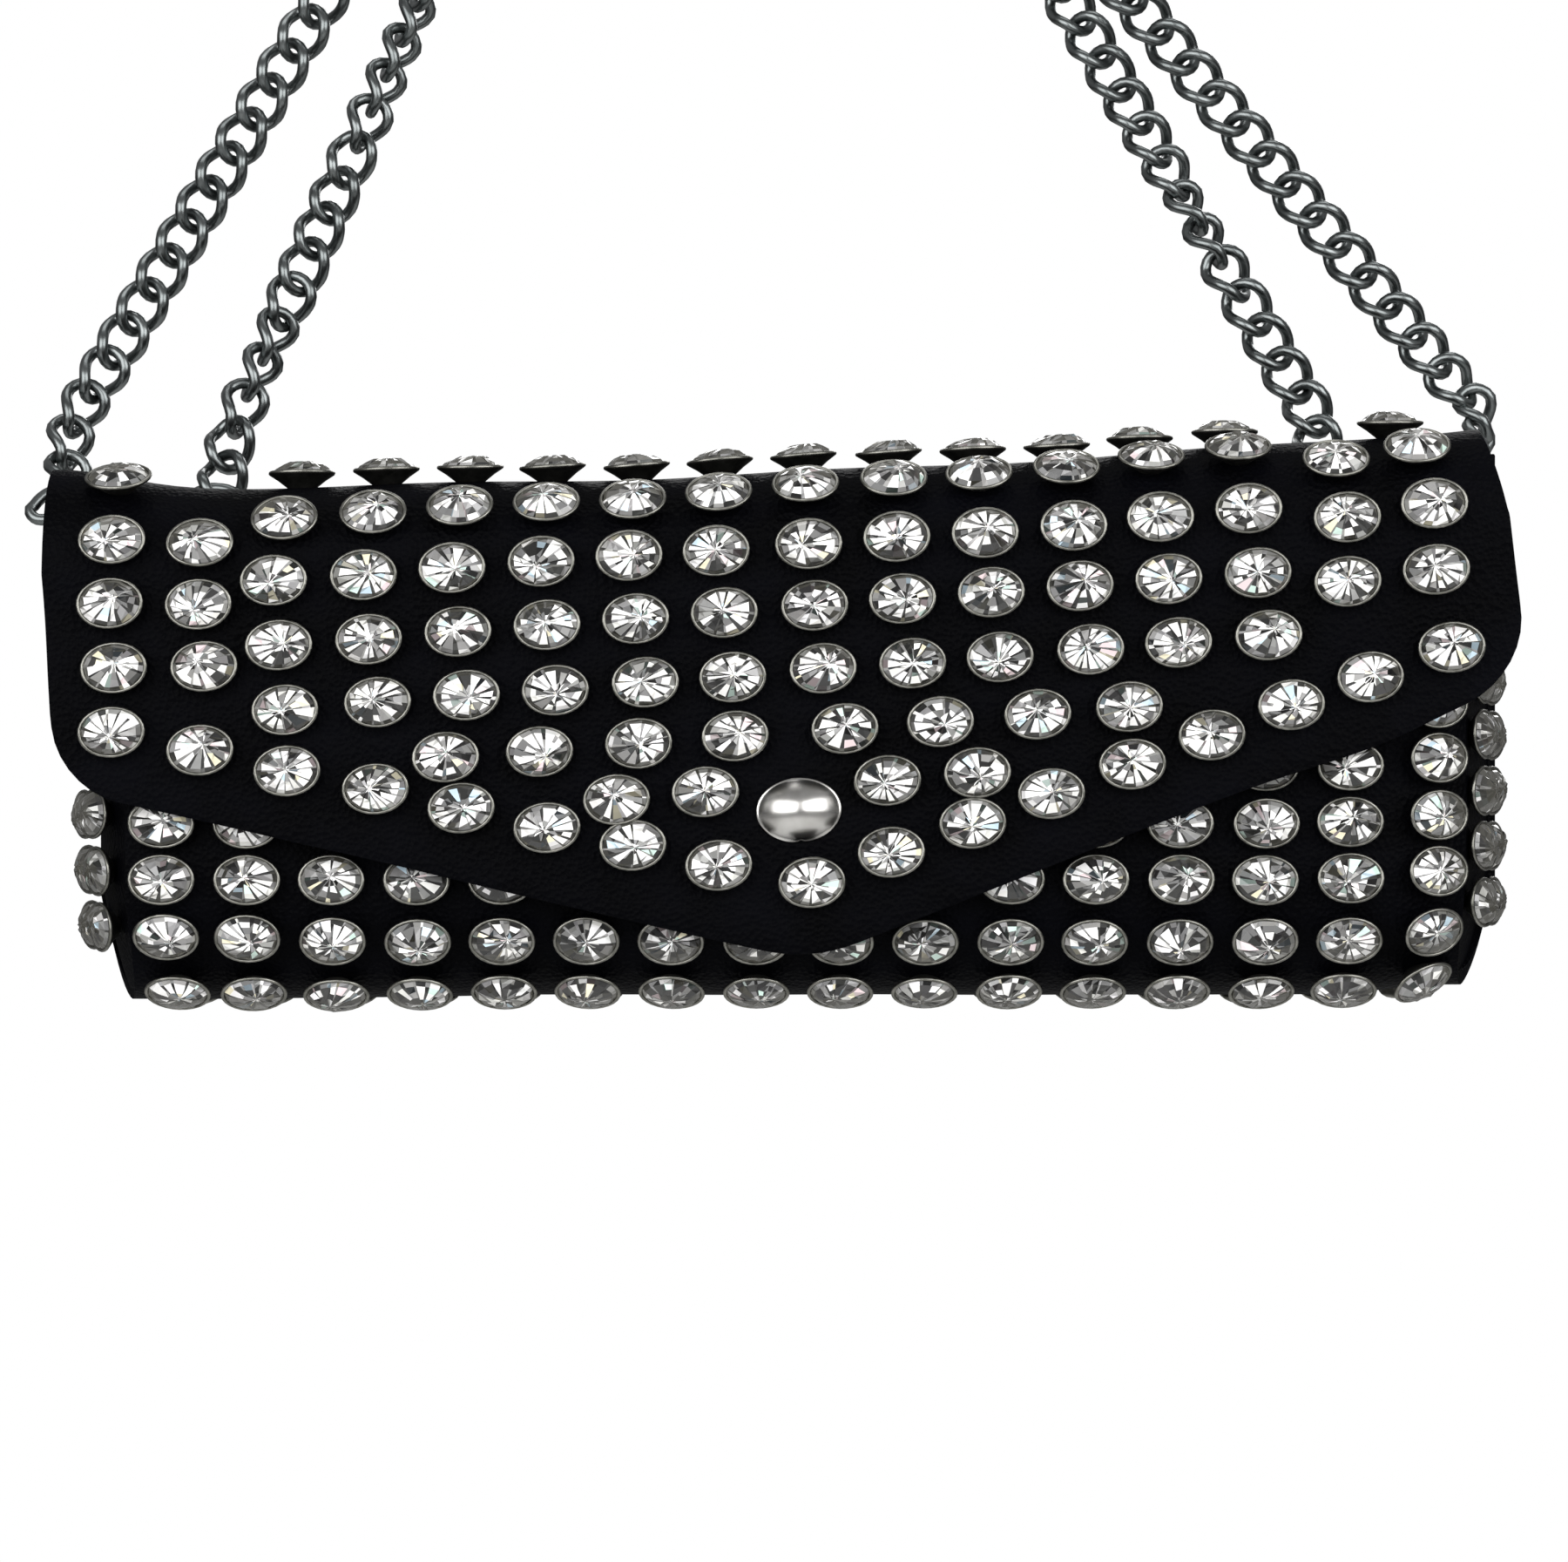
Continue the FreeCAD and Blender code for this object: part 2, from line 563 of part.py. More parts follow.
def make_chain(name, left, right, plane):
    route = chain_route(left, right, plane)
    total = sum((b - a).Length for a, b in zip(route, route[1:]))
    gaps = round(total / dim("link_pitch"))
    pitch = total / gaps
    print(f"chain {name}: {gaps + 1} links, pitch {pitch:.3f}, route {total:.1f}")
    master = link_master()
    strands = {left: [], right: []}
    for n in range(gaps + 1):
        point, direction = along(route, min(n * pitch, total - 1e-6))
        across = Y_AXIS.cross(direction).normalize()
        deep = direction.cross(across)
        twist = math.radians(45 if n % 2 == 0 else -45)
        wide = across * math.cos(twist) + deep * math.sin(twist)
        link = master.copy()
        link.Placement = FreeCAD.Placement(
            point, FreeCAD.Rotation(wide, direction.cross(wide), direction, "ZXY"))
        strands[left if n <= gaps // 2 else right].append(link)
    for place, links in strands.items():
        feature(f"chain_{place}", Part.makeCompound(links))


# ---------------------------------------------------------------- inside the bag

def make_inside():
    back_face = "bottom_radius - leather - lining"
    for side, sign in (("left", -1), ("right", 1)):
        strips = []
        for n in range(3):
            low_x, high_x = sorted((sign * dim("card_inner"), sign * dim("card_width")))
            low = (str(low_x), f"{back_face} - {n + 1} * card_thick", "card_low")
            high = (str(high_x), f"{back_face} - {n} * card_thick", f"card_first_top - {n} * card_step")
            strips.append(box(f"card_{side}_{n}", low, high))
        stack = doc.addObject("Part::Compound", f"card_slots_{side}")
        stack.Links = strips
        keep(stack, f"card_slots_{side}")

    half = "pocket_half_width"
    outer = box("pocket_outside", (f"-{half}", "-pocket_outer", "pocket_low"),
                (half, "pocket_outer", "pocket_top"))
    inner = box("pocket_inside", (f"-{half} + pocket_wall", "pocket_wall - pocket_outer",
                                  "pocket_low + pocket_wall"),
                (f"{half} - pocket_wall", "pocket_outer - pocket_wall", "pocket_top + 1"))
    keep(cut("coin_pocket", outer, inner), "coin_pocket")

    tapes = []
    for side, (near, far) in (("front", ("-tape_outer", "-tape_inner")),
                              ("back", ("tape_inner", "tape_outer"))):
        tapes.append(box(f"tape_{side}", (f"-{half} + pocket_wall", near, "pocket_top - tape_drop"),
                         (f"{half} - pocket_wall", far, "pocket_top + tape_rise")))
    tape = doc.addObject("Part::Compound", "zip_tape")
    tape.Links = tapes
    keep(tape, "zip_tape")

    inner_gap = dim("tape_inner")
    top = dim("pocket_top") + dim("tape_rise")
    count = int(2 * dim("teeth_half_width") / dim("tooth_pitch"))
    places = grid_columns(count, dim("tooth_pitch"))
    teeth = [Part.makeBox(dim("tooth_length"), 2 * inner_gap, 1.6,
                          Vec(x - dim("tooth_length") / 2, -inner_gap, top - 1.6)) for x in places]
    feature("zip_teeth", Part.makeCompound(teeth))
    stops = [Part.makeBox(dim("stop_length"), 2 * inner_gap, 2.0,
                          Vec(x - dim("stop_length") / 2, -inner_gap, top - 2.0))
             for x in (-dim("teeth_half_width") - 2.0, dim("teeth_half_width") + 2.0)]
    feature("zip_stops", Part.makeCompound(stops))

    start = "-teeth_half_width + 1"
    low, high = "pocket_top + 1.5", "pocket_top + slider_rise"
    block = box("slider_block", (start, "-slider_half_depth", low),
                (f"{start} + slider_length", "slider_half_depth", high))
    tunnel = box("slider_tunnel", (f"{start} - 1", "slider_wall - slider_half_depth", "pocket_top"),
                 (f"{start} + slider_length + 1", "slider_half_depth - slider_wall",
                  f"{high} - slider_wall"))
    keep(cut("zip_slider", block, tunnel), "zip_slider")
    pull_x = f"{start} + slider_length / 2"
    blade = box("pull_blade", (f"{pull_x} - pull_width / 2", "slider_half_depth", f"{high} - pull_drop"),
                (f"{pull_x} + pull_width / 2", "slider_half_depth + pull_thick", high))
    hole = cylinder("pull_hole", "pull_hole_radius", "pull_thick",
                    (pull_x, "slider_half_depth", f"{high} - pull_drop + 2.2"), Y_AXIS)
    keep(cut("zip_pull", blade, hole), "zip_pull")


def check_and_write():
    doc.recompute()
    for thing in doc.Objects:
        if "Invalid" in thing.State or "Error" in thing.State:
            raise RuntimeError(f"{thing.Name} did not rebuild: {thing.State}")
    os.makedirs("parts", exist_ok=True)
    for thing in pieces:
        shape = thing.Shape
        if shape.isNull() or not shape.isValid() or shape.Volume <= 0:
            raise RuntimeError(f"{thing.Label} has no valid solid")
        print(f"{thing.Label}: {len(shape.Solids)} solids, {shape.Volume:.1f} mm3")
        shape.exportStep(f"parts/{thing.Label}.step")


make_body()
make_flap_layer("flap_leather", "0", "flap_leather", 0)
make_flap_layer("flap_lining", "flap_leather", "lining", 2)
make_snap()
make_body_crystals()
make_flap_crystals()
for ring_place in RING_PLACES:
    make_ring(ring_place)
    make_tab(ring_place)
make_chain("outer", "outer_left", "outer_right", dim("outer_plane"))
make_chain("inner", "inner_left", "inner_right", dim("inner_plane"))
make_inside()
check_and_write()
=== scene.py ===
"""Looks of a crystal-studded chain wallet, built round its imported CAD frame.

Shapes are worked out in millimetres on the design axes (X right, Y back, Z up, zero at the middle
of the bag's lowest line) and moved to the row frame, in metres, when a mesh is made.
"""
import math
import random

import bpy
import numpy as np
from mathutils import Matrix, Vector, noise


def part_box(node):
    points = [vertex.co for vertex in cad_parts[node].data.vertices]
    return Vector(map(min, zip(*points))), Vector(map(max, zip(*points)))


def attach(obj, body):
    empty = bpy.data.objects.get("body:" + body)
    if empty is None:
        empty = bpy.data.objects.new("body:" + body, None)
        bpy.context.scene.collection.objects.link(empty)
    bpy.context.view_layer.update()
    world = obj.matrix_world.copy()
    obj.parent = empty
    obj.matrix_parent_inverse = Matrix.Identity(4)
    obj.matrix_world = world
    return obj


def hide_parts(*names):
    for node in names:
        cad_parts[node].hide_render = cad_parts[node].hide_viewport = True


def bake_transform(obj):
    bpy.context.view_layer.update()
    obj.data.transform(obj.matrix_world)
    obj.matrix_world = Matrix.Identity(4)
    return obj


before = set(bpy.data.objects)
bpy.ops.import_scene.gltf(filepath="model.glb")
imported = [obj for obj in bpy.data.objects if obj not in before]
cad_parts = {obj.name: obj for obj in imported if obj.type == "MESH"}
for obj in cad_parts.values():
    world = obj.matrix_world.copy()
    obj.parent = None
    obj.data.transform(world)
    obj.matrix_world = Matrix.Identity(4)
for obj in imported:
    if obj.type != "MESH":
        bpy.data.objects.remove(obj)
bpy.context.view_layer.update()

# driving dimensions, in millimetres and degrees
CROWN = np.array([-17.0, 30.5, 235.0])
BOTTOM_RADIUS, FRONT_HALF, BACK_HALF = 15.0, 97.5, 105.0
FRONT_TOP, BACK_TOP = 60.0, 74.0
LEATHER, GUSSET_LEATHER, LINING, FLAP_LEATHER = 2.0, 1.6, 0.6, 1.4
FLAP_FRONT, FLAP_BEND, FLAP_CREST, FLAP_HALF = 21.4, 12.0, 76.5, 105.0
SNAP_HEIGHT, PATTERN_TILT, FOLD_TILT = 26.2, 4.3, 2.5
FOLD_LEFT, FOLD_RIGHT = 108.3, 100.6
FLAP_EDGE_LOW, FLAP_TIP = 11.0, 21.8
FLAP_CORNER, FLAP_TIP_ROUND = 12.0, 24.0
CRYSTAL_OVAL = 0.756
LINK_LENGTH, LINK_WIDTH, LINK_WIRE, LINK_TWIST = 10.0, 7.9, 0.87, -36.0
RING_BAR, RING_WIRE, RING_LEAN, RING_BEND = (18.0, 70.0), 0.9, 27.0, 1.8
SIDES = {"left": -1, "right": 1}
PLACES = ("outer_left", "inner_left", "inner_right", "outer_right")
LINING_TOP = 57.0
CORNER_HEIGHT = 14.0    # below this height the bag's lower corners draw in
DOME_RADIUS, DOME_FOOT, DOME_RISE = 5.8, 0.50, 2.6
CRYSTAL_SEED = 11
HINGE_HEM = 5.0         # how far the flap's left end is cut back at the hinge, clear of the outer ring
TAB_EYE = 2.1           # radius of a tab's loop round its ring's bar
FRONT_END_CURL = 3.4    # how far the front's right-hand end curls back
SHEET_COLUMNS = 64      # points across a large sheet
PANEL_ROWS = 22         # rows of points down the flap's plate and up the back panel
LIGHTS = [("key_left", (-430, -700, 250), (840, 640), 6.4),      # name, place, size, watts
          ("key_right", (480, -640, 270), (760, 600), 5.6),
          ("top", (0, 40, 760), (620, 260), 1.2),
          ("rim_back", (120, 640, 380), (620, 260), 2.0)]
ROOM_LEVEL = 0.30       # strength of the room's light
# the room's brightness, from straight below (0) to straight above (1)
ROOM_STOPS = [(0.0, 0.35), (0.36, 0.20), (0.46, 0.10), (0.54, 0.55), (0.64, 0.9), (1.0, 1.0)]


def to_row(points):
    """Design millimetres to row metres."""
    return (np.asarray(points, float) - CROWN) / 1000.0


def to_design(points):
    """Row metres to design millimetres."""
    return np.asarray(points, float) * 1000.0 + CROWN


# ------------------------------------------------------------------ camera, light, stage

def make_camera():
    camera = bpy.data.objects.new("camera", bpy.data.cameras.new("camera"))
    bpy.context.scene.collection.objects.link(camera)
    camera.data.lens, camera.data.sensor_width = 112.0, 36.0
    camera.location = to_row((-2.1, -721.4, 30.4))
    camera.rotation_euler = (math.radians(90), 0, 0)
    camera.data.clip_start, camera.data.clip_end = 0.01, 20
    bpy.context.scene.camera = camera


def area_light(name, place, target, size, power):
    """A rectangular light at a design place, aimed at the target."""
    data = bpy.data.lights.new(name, "AREA")
    data.shape, data.size, data.size_y = "RECTANGLE", size[0] / 1000, size[1] / 1000
    data.energy = power
    light = bpy.data.objects.new(name, data)
    bpy.context.scene.collection.objects.link(light)
    light.location = to_row(place)
    aim = Vector(to_row(target)) - light.location
    light.rotation_euler = aim.to_track_quat("-Z", "Y").to_euler()


def make_studio():
    """A white backdrop for the camera, a graded room for reflections, soft lights and a floor."""
    scene = bpy.context.scene
    scene.view_settings.view_transform = "Standard"
    world = bpy.data.worlds.new("studio")
    world.use_nodes = True
    scene.world = world
    tree = world.node_tree
    tree.nodes.clear()
    output = tree.nodes.new("ShaderNodeOutputWorld")
    mix = tree.nodes.new("ShaderNodeMixShader")
    path = tree.nodes.new("ShaderNodeLightPath")
    seen = tree.nodes.new("ShaderNodeBackground")
    seen.inputs["Color"].default_value = (1, 1, 1, 1)
    room = tree.nodes.new("ShaderNodeBackground")
    room.inputs["Strength"].default_value = ROOM_LEVEL
    place = tree.nodes.new("ShaderNodeTexCoord")
    split = tree.nodes.new("ShaderNodeSeparateXYZ")
    ramp = tree.nodes.new("ShaderNodeValToRGB")
    tree.links.new(place.outputs["Generated"], split.inputs[0])
    half = tree.nodes.new("ShaderNodeMapRange")
    half.inputs["From Min"].default_value = -1.0
    half.inputs["From Max"].default_value = 1.0
    tree.links.new(split.outputs["Z"], half.inputs["Value"])
    tree.links.new(half.outputs["Result"], ramp.inputs["Fac"])
    first, last = ramp.color_ramp.elements
    first.position, last.position = ROOM_STOPS[0][0], ROOM_STOPS[-1][0]
    for position, _ in ROOM_STOPS[1:-1]:
        ramp.color_ramp.elements.new(position)
    for element, (_, level) in zip(ramp.color_ramp.elements, ROOM_STOPS):
        element.color = (level, level, level * 1.01, 1)
    tree.links.new(ramp.outputs["Color"], room.inputs["Color"])
    tree.links.new(path.outputs["Is Camera Ray"], mix.inputs["Fac"])
    tree.links.new(room.outputs[0], mix.inputs[1])
    tree.links.new(seen.outputs[0], mix.inputs[2])
    tree.links.new(mix.outputs[0], output.inputs["Surface"])
    for name, place, size, power in LIGHTS:
        area_light(name, place, (0, 0, 60), size, power)
    make_floor()


def make_floor():
    """A pale floor, well below the bag."""
    bpy.ops.mesh.primitive_plane_add(size=4.0, location=to_row((0, 0, -420)))
    floor = bpy.context.object
    floor.name = "floor"
    material, shader, _ = new_material("floor_pale")
    shader.inputs["Base Color"].default_value = (0.74, 0.74, 0.73, 1)
    shader.inputs["Roughness"].default_value = 0.8
    floor.data.materials.append(material)


# ------------------------------------------------------------------ materials

def new_material(name):
    material = bpy.data.materials.new(name)
    material.use_nodes = True
    return material, material.node_tree.nodes["Principled BSDF"], material.node_tree


def noise_node(tree, kind, scale, **inputs):
    """A noise or Voronoi texture in the object's own coordinates."""
    place = tree.nodes.new("ShaderNodeTexCoord")
    node = tree.nodes.new(kind)
    node.inputs["Scale"].default_value = scale
    for key, value in inputs.items():
        node.inputs[key].default_value = value
    tree.links.new(place.outputs["Object"], node.inputs["Vector"])
    return node


def ramp_between(tree, source, low, high, start=0.3, stop=0.7):
    """Colour that runs from low to high as the source runs from start to stop."""
    ramp = tree.nodes.new("ShaderNodeValToRGB")
    first, last = ramp.color_ramp.elements
    first.position, last.position = start, stop
    first.color, last.color = (*low, 1), (*high, 1)
    tree.links.new(source, ramp.inputs["Fac"])
    return ramp.outputs["Color"]


def bump(tree, shader, source, strength, distance, after=None):
    """Bumps from a height source, on top of an earlier bump node if one is given."""
    node = tree.nodes.new("ShaderNodeBump")
    node.inputs["Strength"].default_value = strength
    node.inputs["Distance"].default_value = distance
    tree.links.new(source, node.inputs["Height"])
    if after is not None:
        tree.links.new(after.outputs["Normal"], node.inputs["Normal"])
    tree.links.new(node.outputs["Normal"], shader.inputs["Normal"])
    return node


def leather_material(name, low, high, roughness, pebble, depth):
    """Grained leather; pebble is the grain's scale and depth its height in metres."""
    material, shader, tree = new_material(name)
    broad = noise_node(tree, "ShaderNodeTexNoise", 90.0, Detail=4.0)
    tree.links.new(ramp_between(tree, broad.outputs[0], low, high), shader.inputs["Base Color"])
    grain = noise_node(tree, "ShaderNodeTexVoronoi", pebble)
    fine = noise_node(tree, "ShaderNodeTexNoise", pebble * 3.2, Detail=3.0)
    first = bump(tree, shader, fine.outputs[0], 0.25, depth * 0.5)
    bump(tree, shader, grain.outputs["Distance"], 0.6, depth, first)
    wear = tree.nodes.new("ShaderNodeMapRange")
    wear.inputs["To Min"].default_value = roughness - 0.08
    wear.inputs["To Max"].default_value = roughness + 0.10
    tree.links.new(broad.outputs[0], wear.inputs["Value"])
    tree.links.new(wear.outputs["Result"], shader.inputs["Roughness"])
    shader.inputs["Specular IOR Level"].default_value = 0.026
    return material


def fabric_material(name, low, high, threads):
    """Woven cloth from two crossing sets of threads, with a dull surface."""
    material, shader, tree = new_material(name)
    warp = noise_node(tree, "ShaderNodeTexWave", threads, Distortion=0.6)
    weft = noise_node(tree, "ShaderNodeTexWave", threads, Distortion=0.6)
    weft.bands_direction = "Z"
    mix = tree.nodes.new("ShaderNodeMath")
    mix.operation = "MULTIPLY"
    tree.links.new(warp.outputs["Fac"], mix.inputs[0])
    tree.links.new(weft.outputs["Fac"], mix.inputs[1])
    tree.links.new(ramp_between(tree, mix.outputs[0], low, high, 0.1, 0.9), shader.inputs["Base Color"])
    bump(tree, shader, mix.outputs[0], 0.5, 0.0001)
    shader.inputs["Roughness"].default_value = 0.85
    shader.inputs["Sheen Weight"].default_value = 0.04
    shader.inputs["Specular IOR Level"].default_value = 0.15
    return material


def metal_material(name, low, high, roughness, scale=700.0):
    """Metal whose colour wanders between low and high, with a faintly uneven surface."""
    material, shader, tree = new_material(name)
    stain = noise_node(tree, "ShaderNodeTexNoise", scale, Detail=5.0)
    tree.links.new(ramp_between(tree, stain.outputs[0], low, high), shader.inputs["Base Color"])
    shader.inputs["Metallic"].default_value = 1.0
    shader.inputs["Roughness"].default_value = roughness
    bump(tree, shader, stain.outputs[0], 0.10, 0.00002)
    return material


def crystal_material():
    """Foil-backed crystal: each facet's colour is painted reflection, the light or the dark that it throws
    back, and towards grazing it turns to a painted dark reflection.
    """
    material, shader, tree = new_material("crystal_facets")
    facets = tree.nodes.new("ShaderNodeVertexColor")
    facets.layer_name = "facet"
    # painted dark reflection: towards grazing angles the facet colour is mixed into a dark grey-olive
    grazing = tree.nodes.new("ShaderNodeLayerWeight")
    grazing.inputs["Blend"].default_value = 0.5
    painted_grazing_dark = tree.nodes.new("ShaderNodeMapRange")
    painted_grazing_dark.inputs["From Min"].default_value = 0.22
    painted_grazing_dark.inputs["From Max"].default_value = 0.52
    painted_grazing_dark.inputs["To Max"].default_value = 0.90
    tree.links.new(grazing.outputs["Facing"], painted_grazing_dark.inputs["Value"])
    mix = tree.nodes.new("ShaderNodeMix")
    mix.data_type = "RGBA"
    mix.inputs[7].default_value = (0.075, 0.072, 0.060, 1)
    tree.links.new(painted_grazing_dark.outputs["Result"], mix.inputs[0])
    tree.links.new(facets.outputs["Color"], mix.inputs[6])
    tree.links.new(mix.outputs[2], shader.inputs["Base Color"])
    shader.inputs["Roughness"].default_value = 0.10
    shader.inputs["Specular IOR Level"].default_value = 0.5
    shader.inputs["Coat Weight"].default_value = 0.35
    shader.inputs["Coat Roughness"].default_value = 0.03
    return material


# ------------------------------------------------------------------ mesh helpers

def mesh_piece(name, points, faces, body, nodes, material, smooth=True, colours=None):
    """A piece from design points: rides on the body and stands for the given CAD nodes."""
    mesh = bpy.data.meshes.new(name)
    mesh.from_pydata(to_row(points).tolist(), [], faces)
    mesh.polygons.foreach_set("use_smooth", [smooth] * len(mesh.polygons))
    mesh.materials.append(material)
    if colours is not None:
        layer = mesh.color_attributes.new("facet", "BYTE_COLOR", "CORNER")
        corner_colours = np.repeat(colours, [len(face) for face in faces], axis=0)
        layer.data.foreach_set("color", corner_colours.ravel())
    mesh.validate()
    obj = bpy.data.objects.new(name, mesh)
    bpy.context.scene.collection.objects.link(obj)
    if nodes:
        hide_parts(*nodes)
    if body:
        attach(obj, body)
    return obj


def grid_faces(rows, columns, closed=False):
    """Quads of a grid whose points are listed row by row; closed joins the last column to the first."""
    faces = []
    for r in range(rows - 1):
        for c in range(columns if closed else columns - 1):
            n = (c + 1) % columns
            faces.append((r * columns + c, r * columns + n, (r + 1) * columns + n, (r + 1) * columns + c))
    return faces


def tube_faces(rows, steps):
    """Quads of a tube that closes on itself: rows of points, each with steps round the wire."""
    faces = grid_faces(rows, steps, closed=True)
    last = (rows - 1) * steps
    return faces + [(last + k, last + (k + 1) % steps, (k + 1) % steps, k) for k in range(steps)]


def outward_faces(rows, columns):
    """Quads of an open grid, turned so that they face away from the bag."""
    return [face[::-1] for face in grid_faces(rows, columns)]


def thicken(obj, thickness, bevel=0.35):
    """Give a sheet its thickness on the inner side of its normals, with softened cut edges."""
    solid = obj.modifiers.new("thickness", "SOLIDIFY")
    solid.thickness = thickness / 1000
    solid.offset = -1.0
    solid.use_even_offset = True
    edge = obj.modifiers.new("edge", "BEVEL")
    edge.width, edge.segments = bevel / 1000, 3
    edge.limit_method, edge.angle_limit = "ANGLE", math.radians(50)
    return obj


def lathe(profile, segments, oval):
    """Points and quads of an oval turned shape; profile is (half length, height) pairs."""
    angles = [2 * math.pi * n / segments for n in range(segments)]
    points = [(r * math.cos(a), r * oval * math.sin(a), h) for r, h in profile for a in angles]
    return np.array(points), grid_faces(len(profile), segments, closed=True)


def placed(points, seats):
    """Copies of local points at each seat, stacked; a seat is (foot, outward, long axis)."""
    stacked = []
    for foot, outward, long_axis in seats:
        side = np.cross(outward, long_axis)
        stacked.append(foot + points @ np.array([long_axis, side, outward]))
    return np.concatenate(stacked)


def repeated(faces, count, stride):
    """The same faces for count copies of a shape that has stride points."""
    return [tuple(i + k * stride for i in face) for k in range(count) for face in faces]


def islands(node):
    """The separate solids of a CAD node, each as its design points."""
    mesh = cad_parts[node].data
    places = np.array([v.co[:] for v in mesh.vertices])
    keys, index = {}, []
    for place in np.round(places, 6):
        index.append(keys.setdefault(tuple(place), len(keys)))
    parent = list(range(len(keys)))

    def root(i):
        while parent[i] != i:
            parent[i] = parent[parent[i]]
            i = parent[i]
        return i

    for edge in mesh.edges:
        a, b = root(index[edge.vertices[0]]), root(index[edge.vertices[1]])
        parent[max(a, b)] = min(a, b)
    groups = {}
    for key, i in keys.items():
        groups.setdefault(root(i), []).append(key)
    return [to_design(np.array(points)) for _, points in sorted(groups.items())]


def unit(vector):
    return vector / np.linalg.norm(vector)


def clamp(value):
    """The value held between 0 and 1."""
    return min(max(value, 0.0), 1.0)


# ------------------------------------------------------------------ soft leather shapes

def crest_wave(x):
    """How far the fold's ridge stands above a straight line: up at the ends, low between."""
    corner = 2.6 * math.exp(-((x + 108.0) / 13.0) ** 2)
    return -1.0 + 1.9 * (x / 100.0) ** 2 + corner + 0.25 * math.sin(x / 9.0 + 1.0)


def edge_run(x, z):
    """How far the flap's side edges stray from straight lines, fading out towards the middle."""
    if x > 0:
        return np.interp(z, (45, 56, 68, 80), (0.0, 0.6, 0.9, -1.5)) * np.interp(x, (70, 100), (0, 1))
    return -np.interp(z, (30, 40, 60, 72), (0.6, 1.1, 1.1, 0.2)) * np.interp(-x, (66, 92), (0, 1))


def edge_droop(point):
    """The flap's lower edge hangs a little lower towards its right-hand corner."""
    x, _, z = point
    droop = 1.3 * math.exp(-((x - 84.0) / 14.0) ** 2) * np.interp(z, (38, 50), (1, 0))
    return np.array([0, 0, -droop])


def flap_shift(point):
    """The flap leather's gentle unevenness at a design point, for leather and crystals alike."""
    x, y, z = point
    lift = clamp((z - 59.0) / 13.0)
    lift = lift * lift * (3 - 2 * lift)
    wave = 0.55 * noise.noise(Vector((x / 34.0, 7.0, z / 30.0)))
    wave += 0.18 * noise.noise(Vector((x / 12.0, 3.0, z / 12.0)))
    front = clamp((-y - 9.0) / 10.0)
    edge = 0.5 * noise.noise(Vector((x / 18.0, 11.0, z / 22.0)))
    rise = crest_wave(x) * lift + edge * 0.3 * (1 - lift)
    return np.array([edge * 0.5 + edge_run(x, z), -wave * front, rise])


def tilt(points, degrees, centre_z):
    """Turn design points about the Y axis through (0, 0, centre_z), right hand side up."""
    a = math.radians(degrees)
    points = np.asarray(points, float)
    x, z = points[:, 0], points[:, 2] - centre_z
    return np.stack([x * math.cos(a) - z * math.sin(a), points[:, 1],
                     x * math.sin(a) + z * math.cos(a) + centre_z], axis=1)


def rounded(corners, radii, steps):
    """An open outline through corners, with an arc of the given radius at each inner corner."""
    path = [np.array(corners[0], float)]
    for before, corner, after, radius, count in zip(corners, corners[1:], corners[2:], radii, steps):
        corner = np.array(corner, float)
        toward, onward = unit(np.array(before) - corner), unit(np.array(after) - corner)
        half = math.acos(float(np.dot(toward, onward))) / 2
        middle = corner + unit(toward + onward) * radius / math.sin(half)
        start, stop = (corner + d * radius / math.tan(half) - middle for d in (toward, onward))
        sweep = math.acos(max(-1.0, min(1.0, float(np.dot(start, stop)) / radius ** 2)))
        for k in range(count + 1):
            t = k / count
            path.append(middle + (start * math.sin((1 - t) * sweep) + stop * math.sin(t * sweep))
                        / math.sin(sweep))
    return path + [np.array(corners[-1], float)]


def subdivided(path, step):
    """The path with its long straight runs divided."""
    result = [path[0]]
    for here, there in zip(path, path[1:]):
        parts = max(1, int(np.linalg.norm(there - here) / step))
        result += [here + (there - here) * (k + 1) / parts for k in range(parts)]
    return result


